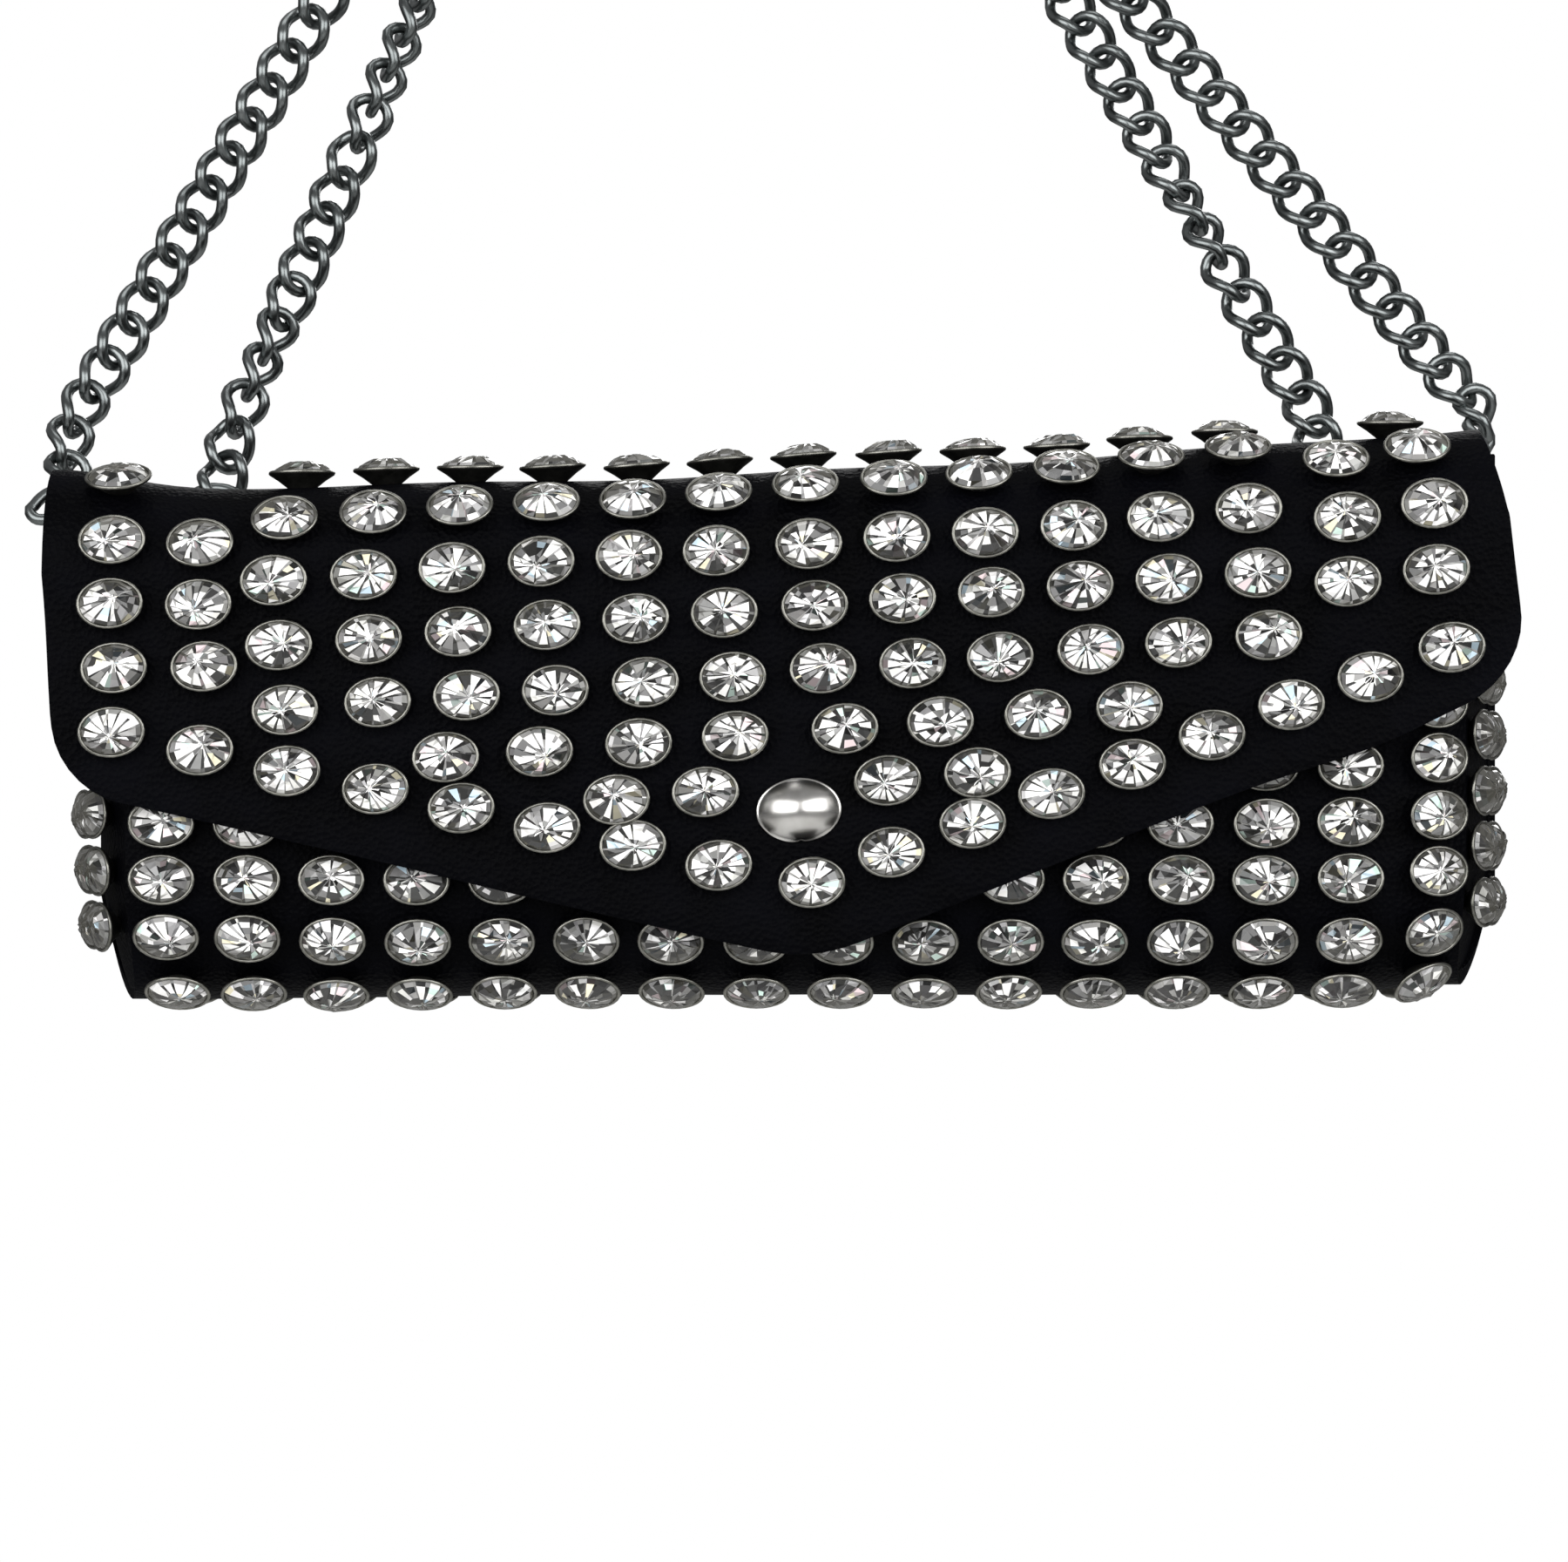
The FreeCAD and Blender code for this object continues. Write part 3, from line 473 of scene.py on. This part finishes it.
def flap_layer(name, depth, thickness, trim, node, material, tucked):
    """One layer of the flap, from the hinge over the crest and the bend to its pointed edge.

    depth is how far it lies under the leather's face, and trim how far its edges are drawn in."""
    half, low = FLAP_HALF - trim, SNAP_HEIGHT + FLAP_EDGE_LOW + trim
    tip = SNAP_HEIGHT - FLAP_TIP + trim
    outline = rounded([(-half, low + 9.0), (-half, low), (0, tip), (half, low), (half, low + 9.0)],
                      [FLAP_CORNER, FLAP_TIP_ROUND, FLAP_CORNER], [7, 8, 7])[1:-1]
    outline = subdivided(outline, 3.2)
    outer_y, crest_z = -(FLAP_FRONT - depth), FLAP_CREST - depth
    bend_y, bend_z, bend = FLAP_BEND - FLAP_FRONT, FLAP_CREST - FLAP_BEND, FLAP_BEND - depth
    section = []
    if tucked:
        section += [(16.2, crest_z - 3.6), (16.2, crest_z - 2.4)]
        section += [(15.0 + 1.2 * math.cos(a), crest_z - 1.2 + 1.2 * math.sin(a))
                    for a in (math.radians(d) for d in (0, 30, 60))]
    section += [(y, crest_z) for y in np.linspace(15.0 if tucked else 12.0, bend_y, 12)]
    section += [(bend_y - bend * math.sin(a), bend_z + bend * math.cos(a))
                for a in (math.radians(d) for d in range(8, 97, 8) if d <= 90)]
    section += [(outer_y, bend_z)]
    left, right = -FOLD_LEFT + trim, FOLD_RIGHT - trim
    columns = [(x + half) / (2 * half) for x, _ in outline]
    rows = []
    for y, z in section:
        hem = HINGE_HEM * np.interp(y, (8.0, 13.0), (0.0, 1.0))
        run = [(left + hem + (right - left - hem) * t, y, z) for t in columns]
        rows.append(tilt(run, FOLD_TILT, FLAP_CREST))
    bottom = tilt([(x, outer_y, z) for x, z in outline], PATTERN_TILT, SNAP_HEIGHT)
    rows += [rows[-1] + (bottom - rows[-1]) * (k / PANEL_ROWS) for k in range(1, PANEL_ROWS + 1)]
    points = np.concatenate(rows)
    points = points + np.array([flap_shift(p) + edge_droop(p) for p in points])
    faces = outward_faces(len(rows), len(columns))
    return thicken(mesh_piece(name, points, faces, None, [node], material), thickness)


def body_half(y):
    """Half width of the bag at a depth: it flares towards the back."""
    return FRONT_HALF + (BACK_HALF - FRONT_HALF) * (y + BOTTOM_RADIUS) / (2 * BOTTOM_RADIUS)


def body_sag(x, z):
    """How far the worn bag strays from level: its bottom sags, and its ends turn up a little."""
    low = clamp((12.0 - z) / 12.0)
    sag = low * low * (3 - 2 * low) * (1.2 + 0.9 * clamp((-x - 40.0) / 50.0))
    lift = 1.5 * clamp((x - 72.0) / 22.0) ** 2 * clamp((58.0 - z) / 20.0)
    curl = 1.2 * clamp((-x - 66.0) / 26.0) * math.exp(-((z - 6.0) / 5.0) ** 2)
    return lift + curl - sag


def body_shift(point):
    """How far the bag's leather strays at a point: its sag, its drawn-in lower corners, and
    the right-hand end of its front, which curls back."""
    x, y, z = point
    curl = clamp((x - 83.0) / 14.5) ** 2
    corner = clamp((CORNER_HEIGHT - z) / CORNER_HEIGHT) ** 1.5 * clamp((abs(x) - 78.0) / 20.0)
    sideways = -0.5 * curl - math.copysign(2.8 * corner, x)
    backward = FRONT_END_CURL * curl * max(-y / BOTTOM_RADIUS, 0.0)
    return np.array([sideways, backward, body_sag(x, z)])


def gusset_lean(side, z):
    """How far a gusset stands out: the left one bulges towards its top, the right one is drawn in."""
    return -1.6 * clamp((z - 4.0) / 22.0) if side == "left" else -1.3


def body_sheet(name, section, inset, thickness, node, material):
    """A sheet that follows a side-view section across the bag's flared width."""
    points = []
    for y, z in section:
        for t in np.linspace(-1, 1, SHEET_COLUMNS):
            x = t * (body_half(y) - inset)
            wave = 0.22 * noise.noise(Vector((x / 20.0, y / 9.0, z / 16.0)))
            points.append(np.array([x, y * (1 + wave / 30.0), z + 0.4 * wave]) + body_shift((x, y, z)))
    faces = outward_faces(len(section), SHEET_COLUMNS)
    return thicken(mesh_piece(name, points, faces, "bag", [node], material), thickness)


def trough_section(radius, front_top, back_top, steps=22):
    """Side view from the front's top edge round the bottom to the back's top edge."""
    section = [(-radius, z) for z in np.linspace(front_top, BOTTOM_RADIUS, 20)]
    section += [(-radius * math.cos(a), BOTTOM_RADIUS - radius * math.sin(a))
                for a in (math.pi * k / steps for k in range(1, steps))]
    back_rows = 2 + int((back_top - BOTTOM_RADIUS) / 3)
    return section + [(radius, z) for z in np.linspace(BOTTOM_RADIUS, back_top, back_rows)]


def make_bag_leather(shell, cloth):
    body_sheet("front_panel_leather", trough_section(BOTTOM_RADIUS, FRONT_TOP, BOTTOM_RADIUS + 0.1),
               0.0, LEATHER, "front_panel", shell)
    make_back_panel(shell)
    body_sheet("body_lining_cloth", trough_section(BOTTOM_RADIUS - LEATHER, LINING_TOP, LINING_TOP),
               GUSSET_LEATHER + 0.3, LINING, "body_lining", cloth)
    for side in SIDES:
        make_gusset(side, shell)


def make_back_panel(shell):
    """The flat back above the bottom's curve; its top edge follows the fold's ridge."""
    columns = np.linspace(-BACK_HALF, BACK_HALF, SHEET_COLUMNS)
    heights = [BACK_TOP - BOTTOM_RADIUS - 0.2 + x * math.tan(math.radians(FOLD_TILT)) + crest_wave(x)
               for x in columns]
    points = [(x, BOTTOM_RADIUS, BOTTOM_RADIUS + 0.2 + height * t)
              for t in np.linspace(0, 1, PANEL_ROWS) for x, height in zip(columns, heights)]
    faces = outward_faces(PANEL_ROWS, SHEET_COLUMNS)
    back = mesh_piece("back_panel_leather", points, faces, "bag", ["back_panel"], shell)
    thicken(back, LEATHER)


def make_gusset(side, shell):
    """An end wall, slightly swollen, whose lower edge follows the rounded bottom."""
    sign, width = SIDES[side], 14
    straight = np.linspace(FRONT_TOP, BOTTOM_RADIUS, 20)
    curved = BOTTOM_RADIUS - 14.0 * np.sin(np.linspace(0.1, 1.5, 12))
    heights = np.concatenate([straight, curved])
    radius = BOTTOM_RADIUS - 0.4
    points = []
    for z in heights:
        drop = max(0.0, BOTTOM_RADIUS - z)
        half = math.sqrt(max(radius ** 2 - drop ** 2, 0.2))
        for t in np.linspace(-1, 1, width):
            y = t * half
            swell = (1 - t * t) * min(1.0, half / 10.0)
            x = sign * (body_half(y) - 0.5 + 0.7 * swell) + swell * gusset_lean(side, z)
            shift = body_shift((x, y, z))
            backward = (FRONT_END_CURL - 0.2) * max(-t, 0.0) ** 2 * (half / BOTTOM_RADIUS) * (sign > 0)
            points.append((x + shift[0] * (z < CORNER_HEIGHT), y + backward, z + shift[2] + 0.3))
    faces = outward_faces(len(heights), width) if sign > 0 else grid_faces(len(heights), width)
    gusset = mesh_piece(f"{side}_gusset_leather", points, faces, "bag", [f"{side}_gusset"],
                        shell)
    thicken(gusset, GUSSET_LEATHER - 0.3)


def make_flap(shell, cloth):
    flap = flap_layer("flap_leather_sheet", 0.0, FLAP_LEATHER, 0.0, "flap_leather",
                      shell, tucked=True)
    apply_modifiers(flap)
    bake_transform(flap)
    lining = flap_layer("flap_lining_cloth", FLAP_LEATHER + 0.02, LINING, 2.0, "flap_lining",
                        cloth, tucked=False)
    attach(lining, "flap")


def apply_modifiers(obj):
    """Bake the sheet's thickness into its mesh."""
    depsgraph = bpy.context.evaluated_depsgraph_get()
    mesh = bpy.data.meshes.new_from_object(obj.evaluated_get(depsgraph))
    obj.modifiers.clear()
    obj.data = mesh


# ------------------------------------------------------------------ crystals

GROUPS = {"front": "bag", "bottom": "bag", "back": "bag", "left_gusset": "bag", "right_gusset": "bag",
          "flap_field": "flap", "flap_border": "flap", "flap_crest": "flap"}
STONE_FOOT = 2.3     # height of the CAD stone's girdle above its foot


def crystal_seats(group):
    """(foot, outward, long axis) of each crystal, read from its CAD stone's two rings."""
    seats = []
    for points in islands(f"stones_{group}"):
        middle = points.mean(axis=0)
        order = np.argsort(np.linalg.norm(points - middle, axis=1))
        table, girdle = points[order[:8]], points[order[-8:]]
        base = girdle.mean(axis=0)
        outward = unit(table.mean(axis=0) - base)
        spokes = girdle - base
        far = spokes[np.argmax(np.linalg.norm(spokes, axis=1))]
        longest = np.linalg.norm(far)
        near = [s for s in spokes if np.dot(s, far) > 0 and abs(np.linalg.norm(s) - longest) < 0.05]
        long_axis = unit(np.sum(near, axis=0))
        seats.append((base - outward * STONE_FOOT, outward, long_axis))
    return seats


# (half length, height) of the pressed cup, from its foot through the leather to its rolled rim
CUP_PROFILE = [(1.7, -0.4), (2.3, 0.15), (3.5, 1.1), (4.5, 1.75), (4.80, 1.95), (4.90, 2.15),
               (4.84, 2.36), (4.66, 2.48), (4.46, 2.47), (4.34, 2.36), (4.28, 2.1)]
STONE_HALF = 4.34
LAST_COLUMN = 88.0   # where the front's last column at the right begins
END_TURN = 0.42      # how far that column looks outward
GUSSET_TURN = 0.28   # how far the crystals at the sides look forward
LOOSE_LONG, LOOSE_ACROSS = 0.05, 0.06    # how far a crystal may lean in its seat
# the stone's rings as (share of its half length, height, unevenness), and the share of facets with painted
# bright and painted middle reflection in each band from the girdle to the middle of the table
RINGS = [(1.0, 2.30, 0.0), (0.86, 2.87, 0.05), (0.63, 3.42, 0.07), (0.38, 3.80, 0.13), (0.15, 3.88, 0.07)]
BAND_MIX = [(0.14, 0.46), (0.66, 0.18), (0.58, 0.22), (0.26, 0.34), (0.46, 0.28)]
GAP_MIX = [(0.10, 0.50), (0.04, 0.30), (0.06, 0.30), (0.22, 0.34), (0.5, 0.3)]
# painted coloured glints: tints for the facets that throw coloured light
FLASHES = [(0.70, 0.88, 1.0), (1.0, 0.82, 0.84), (1.0, 0.93, 0.68), (0.78, 1.0, 0.90)]
FLASH_SHARE = 0.12   # share of facets that throw coloured light


def painted_facet_light(rng, shares, gain):
    """Linear colour of one facet, painted reflection: thrown light, half light or the dark between."""
    bright, middle = shares
    draw = rng.random()
    if draw < bright * gain:
        level = rng.uniform(0.80, 1.0)
    elif draw < bright * gain + middle:
        level = rng.uniform(0.14, 0.36)
    else:
        level = rng.uniform(0.008, 0.045)
    if rng.random() < FLASH_SHARE:
        tint = rng.choice(FLASHES)
    else:
        tint = (1.0, rng.uniform(0.98, 1.0), rng.uniform(0.94, 1.0))
    return tuple(level * t for t in tint) + (1.0,)


def brilliant(rng, gain):
    """One brilliant-cut stone: its points, facets and facet colours, the colours being painted reflection.

    Petals and narrow gaps alternate round it and meet at a point that strays from its middle."""
    petals = rng.randint(13, 16)
    widths = [rng.uniform(0.6, 1.4) for _ in range(petals)]
    cuts, angle = [], rng.uniform(0, math.tau)
    for width in widths:
        span = math.tau * width / sum(widths)
        cuts += [angle, angle + span * rng.uniform(0.16, 0.36)]
        angle += span
    count = len(cuts)
    points = []
    stray_x, stray_y = rng.uniform(-0.95, 0.95), rng.uniform(-0.8, 0.8)
    for share, height, unevenness in RINGS:
        inward = 1 - share
        for cut in cuts:
            reach = STONE_HALF * (share + rng.uniform(-unevenness, unevenness))
            points.append((reach * math.cos(cut) + stray_x * inward,
                           reach * CRYSTAL_OVAL * math.sin(cut) + stray_y * inward, height))
    points.append((stray_x, stray_y, RINGS[-1][1]))
    faces, colours = [], []
    # painted light: each stone's facets are brighter towards one side and dimmer towards another
    lit_side, dim_side = rng.uniform(0, math.tau), rng.uniform(0, math.tau)
    petal_tones = {}
    for band in range(len(RINGS)):
        for n in range(count):
            m = (n + 1) % count
            lower, upper = band * count, (band + 1) * count
            last = band == len(RINGS) - 1
            top = (upper,) if last else (upper + m, upper + n)
            faces.append((lower + n, lower + m, *top))
            painted_side_light = 0.34 * math.cos(cuts[n] - lit_side) + 0.20 * math.cos(2 * cuts[n] - dim_side)
            mix = GAP_MIX if n % 2 == 0 else BAND_MIX
            tone = painted_facet_light(rng, mix[band], gain * (1.0 + painted_side_light))
            if band == 2 and rng.random() < 0.5:
                tone = petal_tones[n]
            petal_tones[n] = tone
            colours.append(tone)
    return points, faces, colours


def painted_stone_brightness(group, seat):
    """How much painted light a stone's facets throw forward: less where it looks away, painted shade on the
    bottom and the sides, and a painted shadow where it sits under the flap.
    """
    foot, outward, _ = seat
    forward = 0.35 + 0.65 * max(0.0, -outward[1])
    if group == "front":
        # painted shadow of the flap over the middle of the front
        shaded = math.exp(-((foot[0] - 8.0) / 46.0) ** 2)
        return forward * (0.86 - 0.40 * shaded)
    # painted shade: crystals on the bottom and the sides are dimmer
    return forward * (0.62 if group in ("bottom", "left_gusset", "right_gusset") else 0.98)


def squared(long_axis, outward):
    """The long axis made square to the outward direction."""
    return unit(long_axis - outward * np.dot(long_axis, outward))


def settled(group, body, seat, rng):
    """A CAD seat moved with the worn leather and leaned a little, as hand-set crystals are."""
    foot, outward, long_axis = seat
    if body == "flap":
        foot = foot + flap_shift(foot)
    if group in ("front", "bottom"):
        foot = foot + body_shift(foot)
        turn = np.array([END_TURN * (foot[0] > LAST_COLUMN), 0, 0])
        outward = unit(outward * np.array([1.0, 1.0, 0.72]) + turn)
    if group.endswith("_gusset"):
        foot = foot + np.array([gusset_lean(group.split("_")[0], foot[2]), 0, 0])
        outward = unit(outward + np.array([0, -GUSSET_TURN, 0]))
        long_axis = squared(long_axis, outward)
    side = np.cross(outward, long_axis)
    along, across = rng.uniform(-LOOSE_LONG, LOOSE_LONG), rng.uniform(-LOOSE_ACROSS, LOOSE_ACROSS)
    outward = unit(outward + long_axis * along + side * across)
    return foot, outward, squared(long_axis, outward)


def make_crystals(cup_metal, crystal):
    rng = random.Random(CRYSTAL_SEED)
    cup_points, cup_faces = lathe(CUP_PROFILE, 28, CRYSTAL_OVAL)
    for group, body in GROUPS.items():
        seats = [settled(group, body, seat, rng) for seat in crystal_seats(group)]
        mesh_piece(f"cup_group_{group}", placed(cup_points, seats),
                   repeated(cup_faces, len(seats), len(cup_points)), body, [f"cups_{group}"],
                   cup_metal)
        points, faces, colours, total = [], [], [], 0
        for seat in seats:
            local, local_faces, local_colours = brilliant(rng, painted_stone_brightness(group, seat))
            points.append(placed(np.array(local), [seat]))
            faces += [tuple(i + total for i in face) for face in local_faces]
            colours += local_colours
            total += len(local)
        mesh_piece(f"stone_group_{group}", np.concatenate(points), faces, body, [f"stones_{group}"],
                   crystal, smooth=False, colours=np.array(colours))


# ------------------------------------------------------------------ snap, chains, rings, tabs, inside

def make_snap(silver):
    """The domed cap: a rolled flange, a shallow dome, and a small notch at its lower edge."""
    profile = [(0.01, 0.0), (6.05, 0.0), (6.17, 0.10), (6.17, 0.30), (6.08, 0.42), (5.86, 0.47)]
    profile += [(DOME_RADIUS * r, DOME_FOOT + DOME_RISE * (1 - r * r)) for r in np.linspace(1.0, 0.002, 24)]
    points, faces = lathe(profile, 64, CRYSTAL_OVAL)
    angle = np.arctan2(points[:, 1] / CRYSTAL_OVAL, points[:, 0])
    reach = np.hypot(points[:, 0], points[:, 1] / CRYSTAL_OVAL)
    notch = np.exp(-((angle + math.pi / 2) / 0.06) ** 2) * (reach > 5.7) * 0.35
    points[:, :2] *= (1 - notch / 6)[:, np.newaxis]
    a = math.radians(PATTERN_TILT)
    foot = np.array([0, -FLAP_FRONT, SNAP_HEIGHT])
    seat = (foot + flap_shift(foot), np.array([0, -1.0, 0]), np.array([math.cos(a), 0, math.sin(a)]))
    mesh_piece("snap_cap_dome", placed(points, [seat]), faces, "flap", ["snap_cap"],
               silver)


# each strand's turn about its own line, as (height, degrees) from its foot upwards
STRAND_TWIST = {
    "outer_left": [(70, 60), (88, 40), (100, 10), (130, -5), (160, 20), (235, 90)],
    "inner_left": [(70, 0), (82, 0), (90, 60), (96, 80), (108, 0), (124, -5), (134, 60), (160, 90),
                   (235, 120)],
    "inner_right": [(70, 0), (84, 10), (100, 0), (110, 30), (116, 80), (124, 30), (140, 0), (235, 60)],
    "outer_right": [(70, 90), (84, 70), (92, 20), (105, 0), (160, 0), (235, 90)]}


def link_points(turn, wire_steps=12):
    """A curb link: a long loop of wire twisted from end to end and turned about its length."""
    bow = LINK_WIDTH / 2 - LINK_WIRE
    straight = LINK_LENGTH / 2 - LINK_WIRE - bow
    outline = []
    for sign, start in ((1, 0.0), (-1, math.pi)):
        outline += [(bow * math.cos(start + a), sign * straight + bow * math.sin(start + a))
                    for a in (math.pi * k / 10 for k in range(11))]
        outline += [(-sign * bow, sign * straight * t) for t in (0.5, 0.0, -0.5)]
    line = []
    for x, z in outline:
        share = max(-1.0, min(1.0, z / (straight + bow * 0.6)))
        angle = math.radians(LINK_TWIST * math.sin(share * math.pi / 2)) + turn
        line.append((x * math.cos(angle), x * math.sin(angle), z))
    line = np.array(line)
    ahead, behind = np.roll(line, -1, axis=0), np.roll(line, 1, axis=0)
    points = []
    for place, forward in zip(line, ahead - behind):
        forward = unit(forward)
        out = np.array([place[0], place[1], place[2] * 0.35])
        out = unit(out - forward * np.dot(out, forward))
        side = np.cross(forward, out)
        for k in range(wire_steps):
            a = 2 * math.pi * k / wire_steps
            points.append(place + LINK_WIRE * (out * math.cos(a) + side * math.sin(a)))
    return np.array(points), tube_faces(len(line), wire_steps)


def make_chains(gunmetal):
    """A twisted link in place of each plain CAD link, along the line of its neighbours."""
    for place in PLACES:
        heights, turns = zip(*STRAND_TWIST[place])
        stacked, faces, total = [], [], 0
        links = sorted(islands(f"chain_{place}"), key=lambda points: points[:, 2].mean())
        middles = [points.mean(axis=0) for points in links]
        for n, middle in enumerate(middles):
            before, after = middles[max(n - 1, 0)], middles[min(n + 1, len(middles) - 1)]
            direction = unit(after - before)
            across = unit(np.cross((0, 1, 0), direction))
            turn = math.radians(float(np.interp(middle[2], heights, turns)))
            points, link_faces = link_points(turn)
            deep = np.cross(direction, across)
            stacked.append(middle + points @ np.array([across, deep, direction]))
            faces += [tuple(i + total for i in face) for face in link_faces]
            total += len(points)
        mesh_piece(f"curb_chain_{place}", np.concatenate(stacked), faces, "strap", [f"chain_{place}"],
                   gunmetal)


def swept(path, radius, steps=12):
    """A closed tube of round wire along a closed path."""
    path = np.array(path)
    forward = np.roll(path, -1, axis=0) - np.roll(path, 1, axis=0)
    middle = path.mean(axis=0)
    points = []
    for place, ahead in zip(path, forward):
        ahead = unit(ahead)
        out = unit((place - middle) - ahead * np.dot(place - middle, ahead))
        side = np.cross(ahead, out)
        points += [place + radius * (out * math.cos(a) + side * math.sin(a))
                   for a in (math.tau * k / steps for k in range(steps))]
    return np.array(points), tube_faces(len(path), steps)


def make_rings(gunmetal):
    """D-rings: a bow on a straight bar, with bent corners, leaning back from the bag."""
    for place in PLACES:
        low, high = (to_design(corner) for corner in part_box(f"ring_{place}"))
        middle_x, reach = (low[0] + high[0]) / 2, (high[0] - low[0]) / 2 - RING_WIRE
        bow_angles = [math.pi * k / 20 for k in range(3, 18)]
        outline = [(reach * math.cos(a), reach * math.sin(a)) for a in bow_angles]
        for sign in (-1, 1):
            centre = sign * (reach - RING_BEND)
            turn = [math.radians(d) for d in range(180, 271, 18)]
            corner = [(centre - sign * RING_BEND * math.cos(a), RING_BEND + RING_BEND * math.sin(a))
                      for a in turn]
            outline += corner if sign < 0 else corner[::-1]
        lean = math.radians(RING_LEAN)
        path = [(middle_x + x, RING_BAR[0] + z * math.sin(lean), RING_BAR[1] + z * math.cos(lean))
                for x, z in outline]
        points, faces = swept(path, RING_WIRE)
        mesh_piece(f"d_ring_{place}", points, faces, "strap", [f"ring_{place}"],
                   gunmetal)


def make_tabs(shell):
    """Leather loops: up the back panel, round each ring's bar and back down."""
    for place in PLACES:
        low, high = (to_design(corner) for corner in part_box(f"tab_{place}"))
        bar_y, bar_z = RING_BAR
        section = [(15.5, low[2] + 0.4), (15.5, 66.0), (15.55, 68.6)]
        section += [(bar_y + TAB_EYE * math.cos(a), bar_z + TAB_EYE * math.sin(a))
                    for a in (math.radians(d) for d in range(190, -71, -20))]
        section += [(17.2, 67.4), (16.5, 66.0), (16.3, low[2] + 0.9)]
        columns = np.linspace(low[0] + 0.3, high[0] - 0.3, 8)
        points = [(x, y, z) for y, z in section for x in columns]
        obj = mesh_piece(f"ring_tab_{place}", points, grid_faces(len(section), 8), "bag",
                         [f"tab_{place}"], shell)
        solid = obj.modifiers.new("thickness", "SOLIDIFY")
        solid.thickness, solid.offset = 0.0007, 0.0
        soft = obj.modifiers.new("soft", "BEVEL")
        soft.width, soft.segments, soft.limit_method = 0.00018, 2, "ANGLE"


BOX_FACES = ((3, 2, 1, 0), (4, 5, 6, 7), (0, 1, 5, 4), (1, 2, 6, 5), (2, 3, 7, 6), (3, 0, 4, 7))


def soft_plate(name, node, body, material, bevel):
    """A flat sewn layer in place of each box of a CAD node, with rounded edges."""
    points, faces = [], []
    for solid in islands(node):
        low, high = solid.min(axis=0), solid.max(axis=0)
        start = len(points)
        for z in (low[2], high[2]):
            points += [(low[0], low[1], z), (high[0], low[1], z),
                       (high[0], high[1], z), (low[0], high[1], z)]
        faces += [tuple(start + i for i in face) for face in BOX_FACES]
    obj = mesh_piece(name, points, faces, body, [node], material)
    edge = obj.modifiers.new("edge", "BEVEL")
    edge.width, edge.segments = bevel / 1000, 3


def make_inside(card, cloth, tape, steel):
    """Card slots and zip tape as soft plates; pocket, zip metal and snap halves keep their CAD meshes."""
    for side in SIDES:
        soft_plate(f"card_slot_leather_{side}", f"card_slots_{side}", "bag", card, 0.3)
    soft_plate("zip_tape_cloth", "zip_tape", "bag", tape, 0.12)
    finishes = {"coin_pocket": cloth, "zip_teeth": steel, "zip_stops": steel, "zip_slider": steel,
                "zip_pull": steel, "snap_socket": steel, "snap_stud": steel}
    for node, material in finishes.items():
        finish(node, material)


def finish(node, material):
    """Give a CAD node its material."""
    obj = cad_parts[node]
    obj.data.materials.clear()
    obj.data.materials.append(material)


make_camera()
make_studio()
shell_leather = leather_material("black_pebbled_leather", (0.0003, 0.0003, 0.0006),
                                 (0.0014, 0.0015, 0.0026), 0.50, 1350.0, 0.00030)
card_leather = leather_material("card_leather", (0.010, 0.010, 0.011), (0.018, 0.018, 0.02),
                                0.5, 2600.0, 0.00008)
cloth_fabric = fabric_material("lining_twill", (0.014, 0.014, 0.016), (0.024, 0.024, 0.027), 900.0)
tape_fabric = fabric_material("zip_tape_weave", (0.008, 0.008, 0.009), (0.02, 0.02, 0.022), 1400.0)
cup_nickel = metal_material("aged_nickel", (0.12, 0.12, 0.105), (0.27, 0.265, 0.24), 0.33)
silver = metal_material("polished_silver", (0.50, 0.485, 0.46), (0.68, 0.67, 0.65), 0.26, 300.0)
steel = metal_material("satin_nickel", (0.40, 0.40, 0.40), (0.55, 0.55, 0.55), 0.32)
gunmetal = metal_material("gunmetal", (0.13, 0.142, 0.142), (0.21, 0.225, 0.225), 0.30, 260.0)
make_bag_leather(shell_leather, cloth_fabric)
make_flap(shell_leather, cloth_fabric)
make_crystals(cup_nickel, crystal_material())
make_snap(silver)
make_chains(gunmetal)
make_tabs(shell_leather)
make_inside(card_leather, cloth_fabric, tape_fabric, steel)
make_rings(gunmetal)
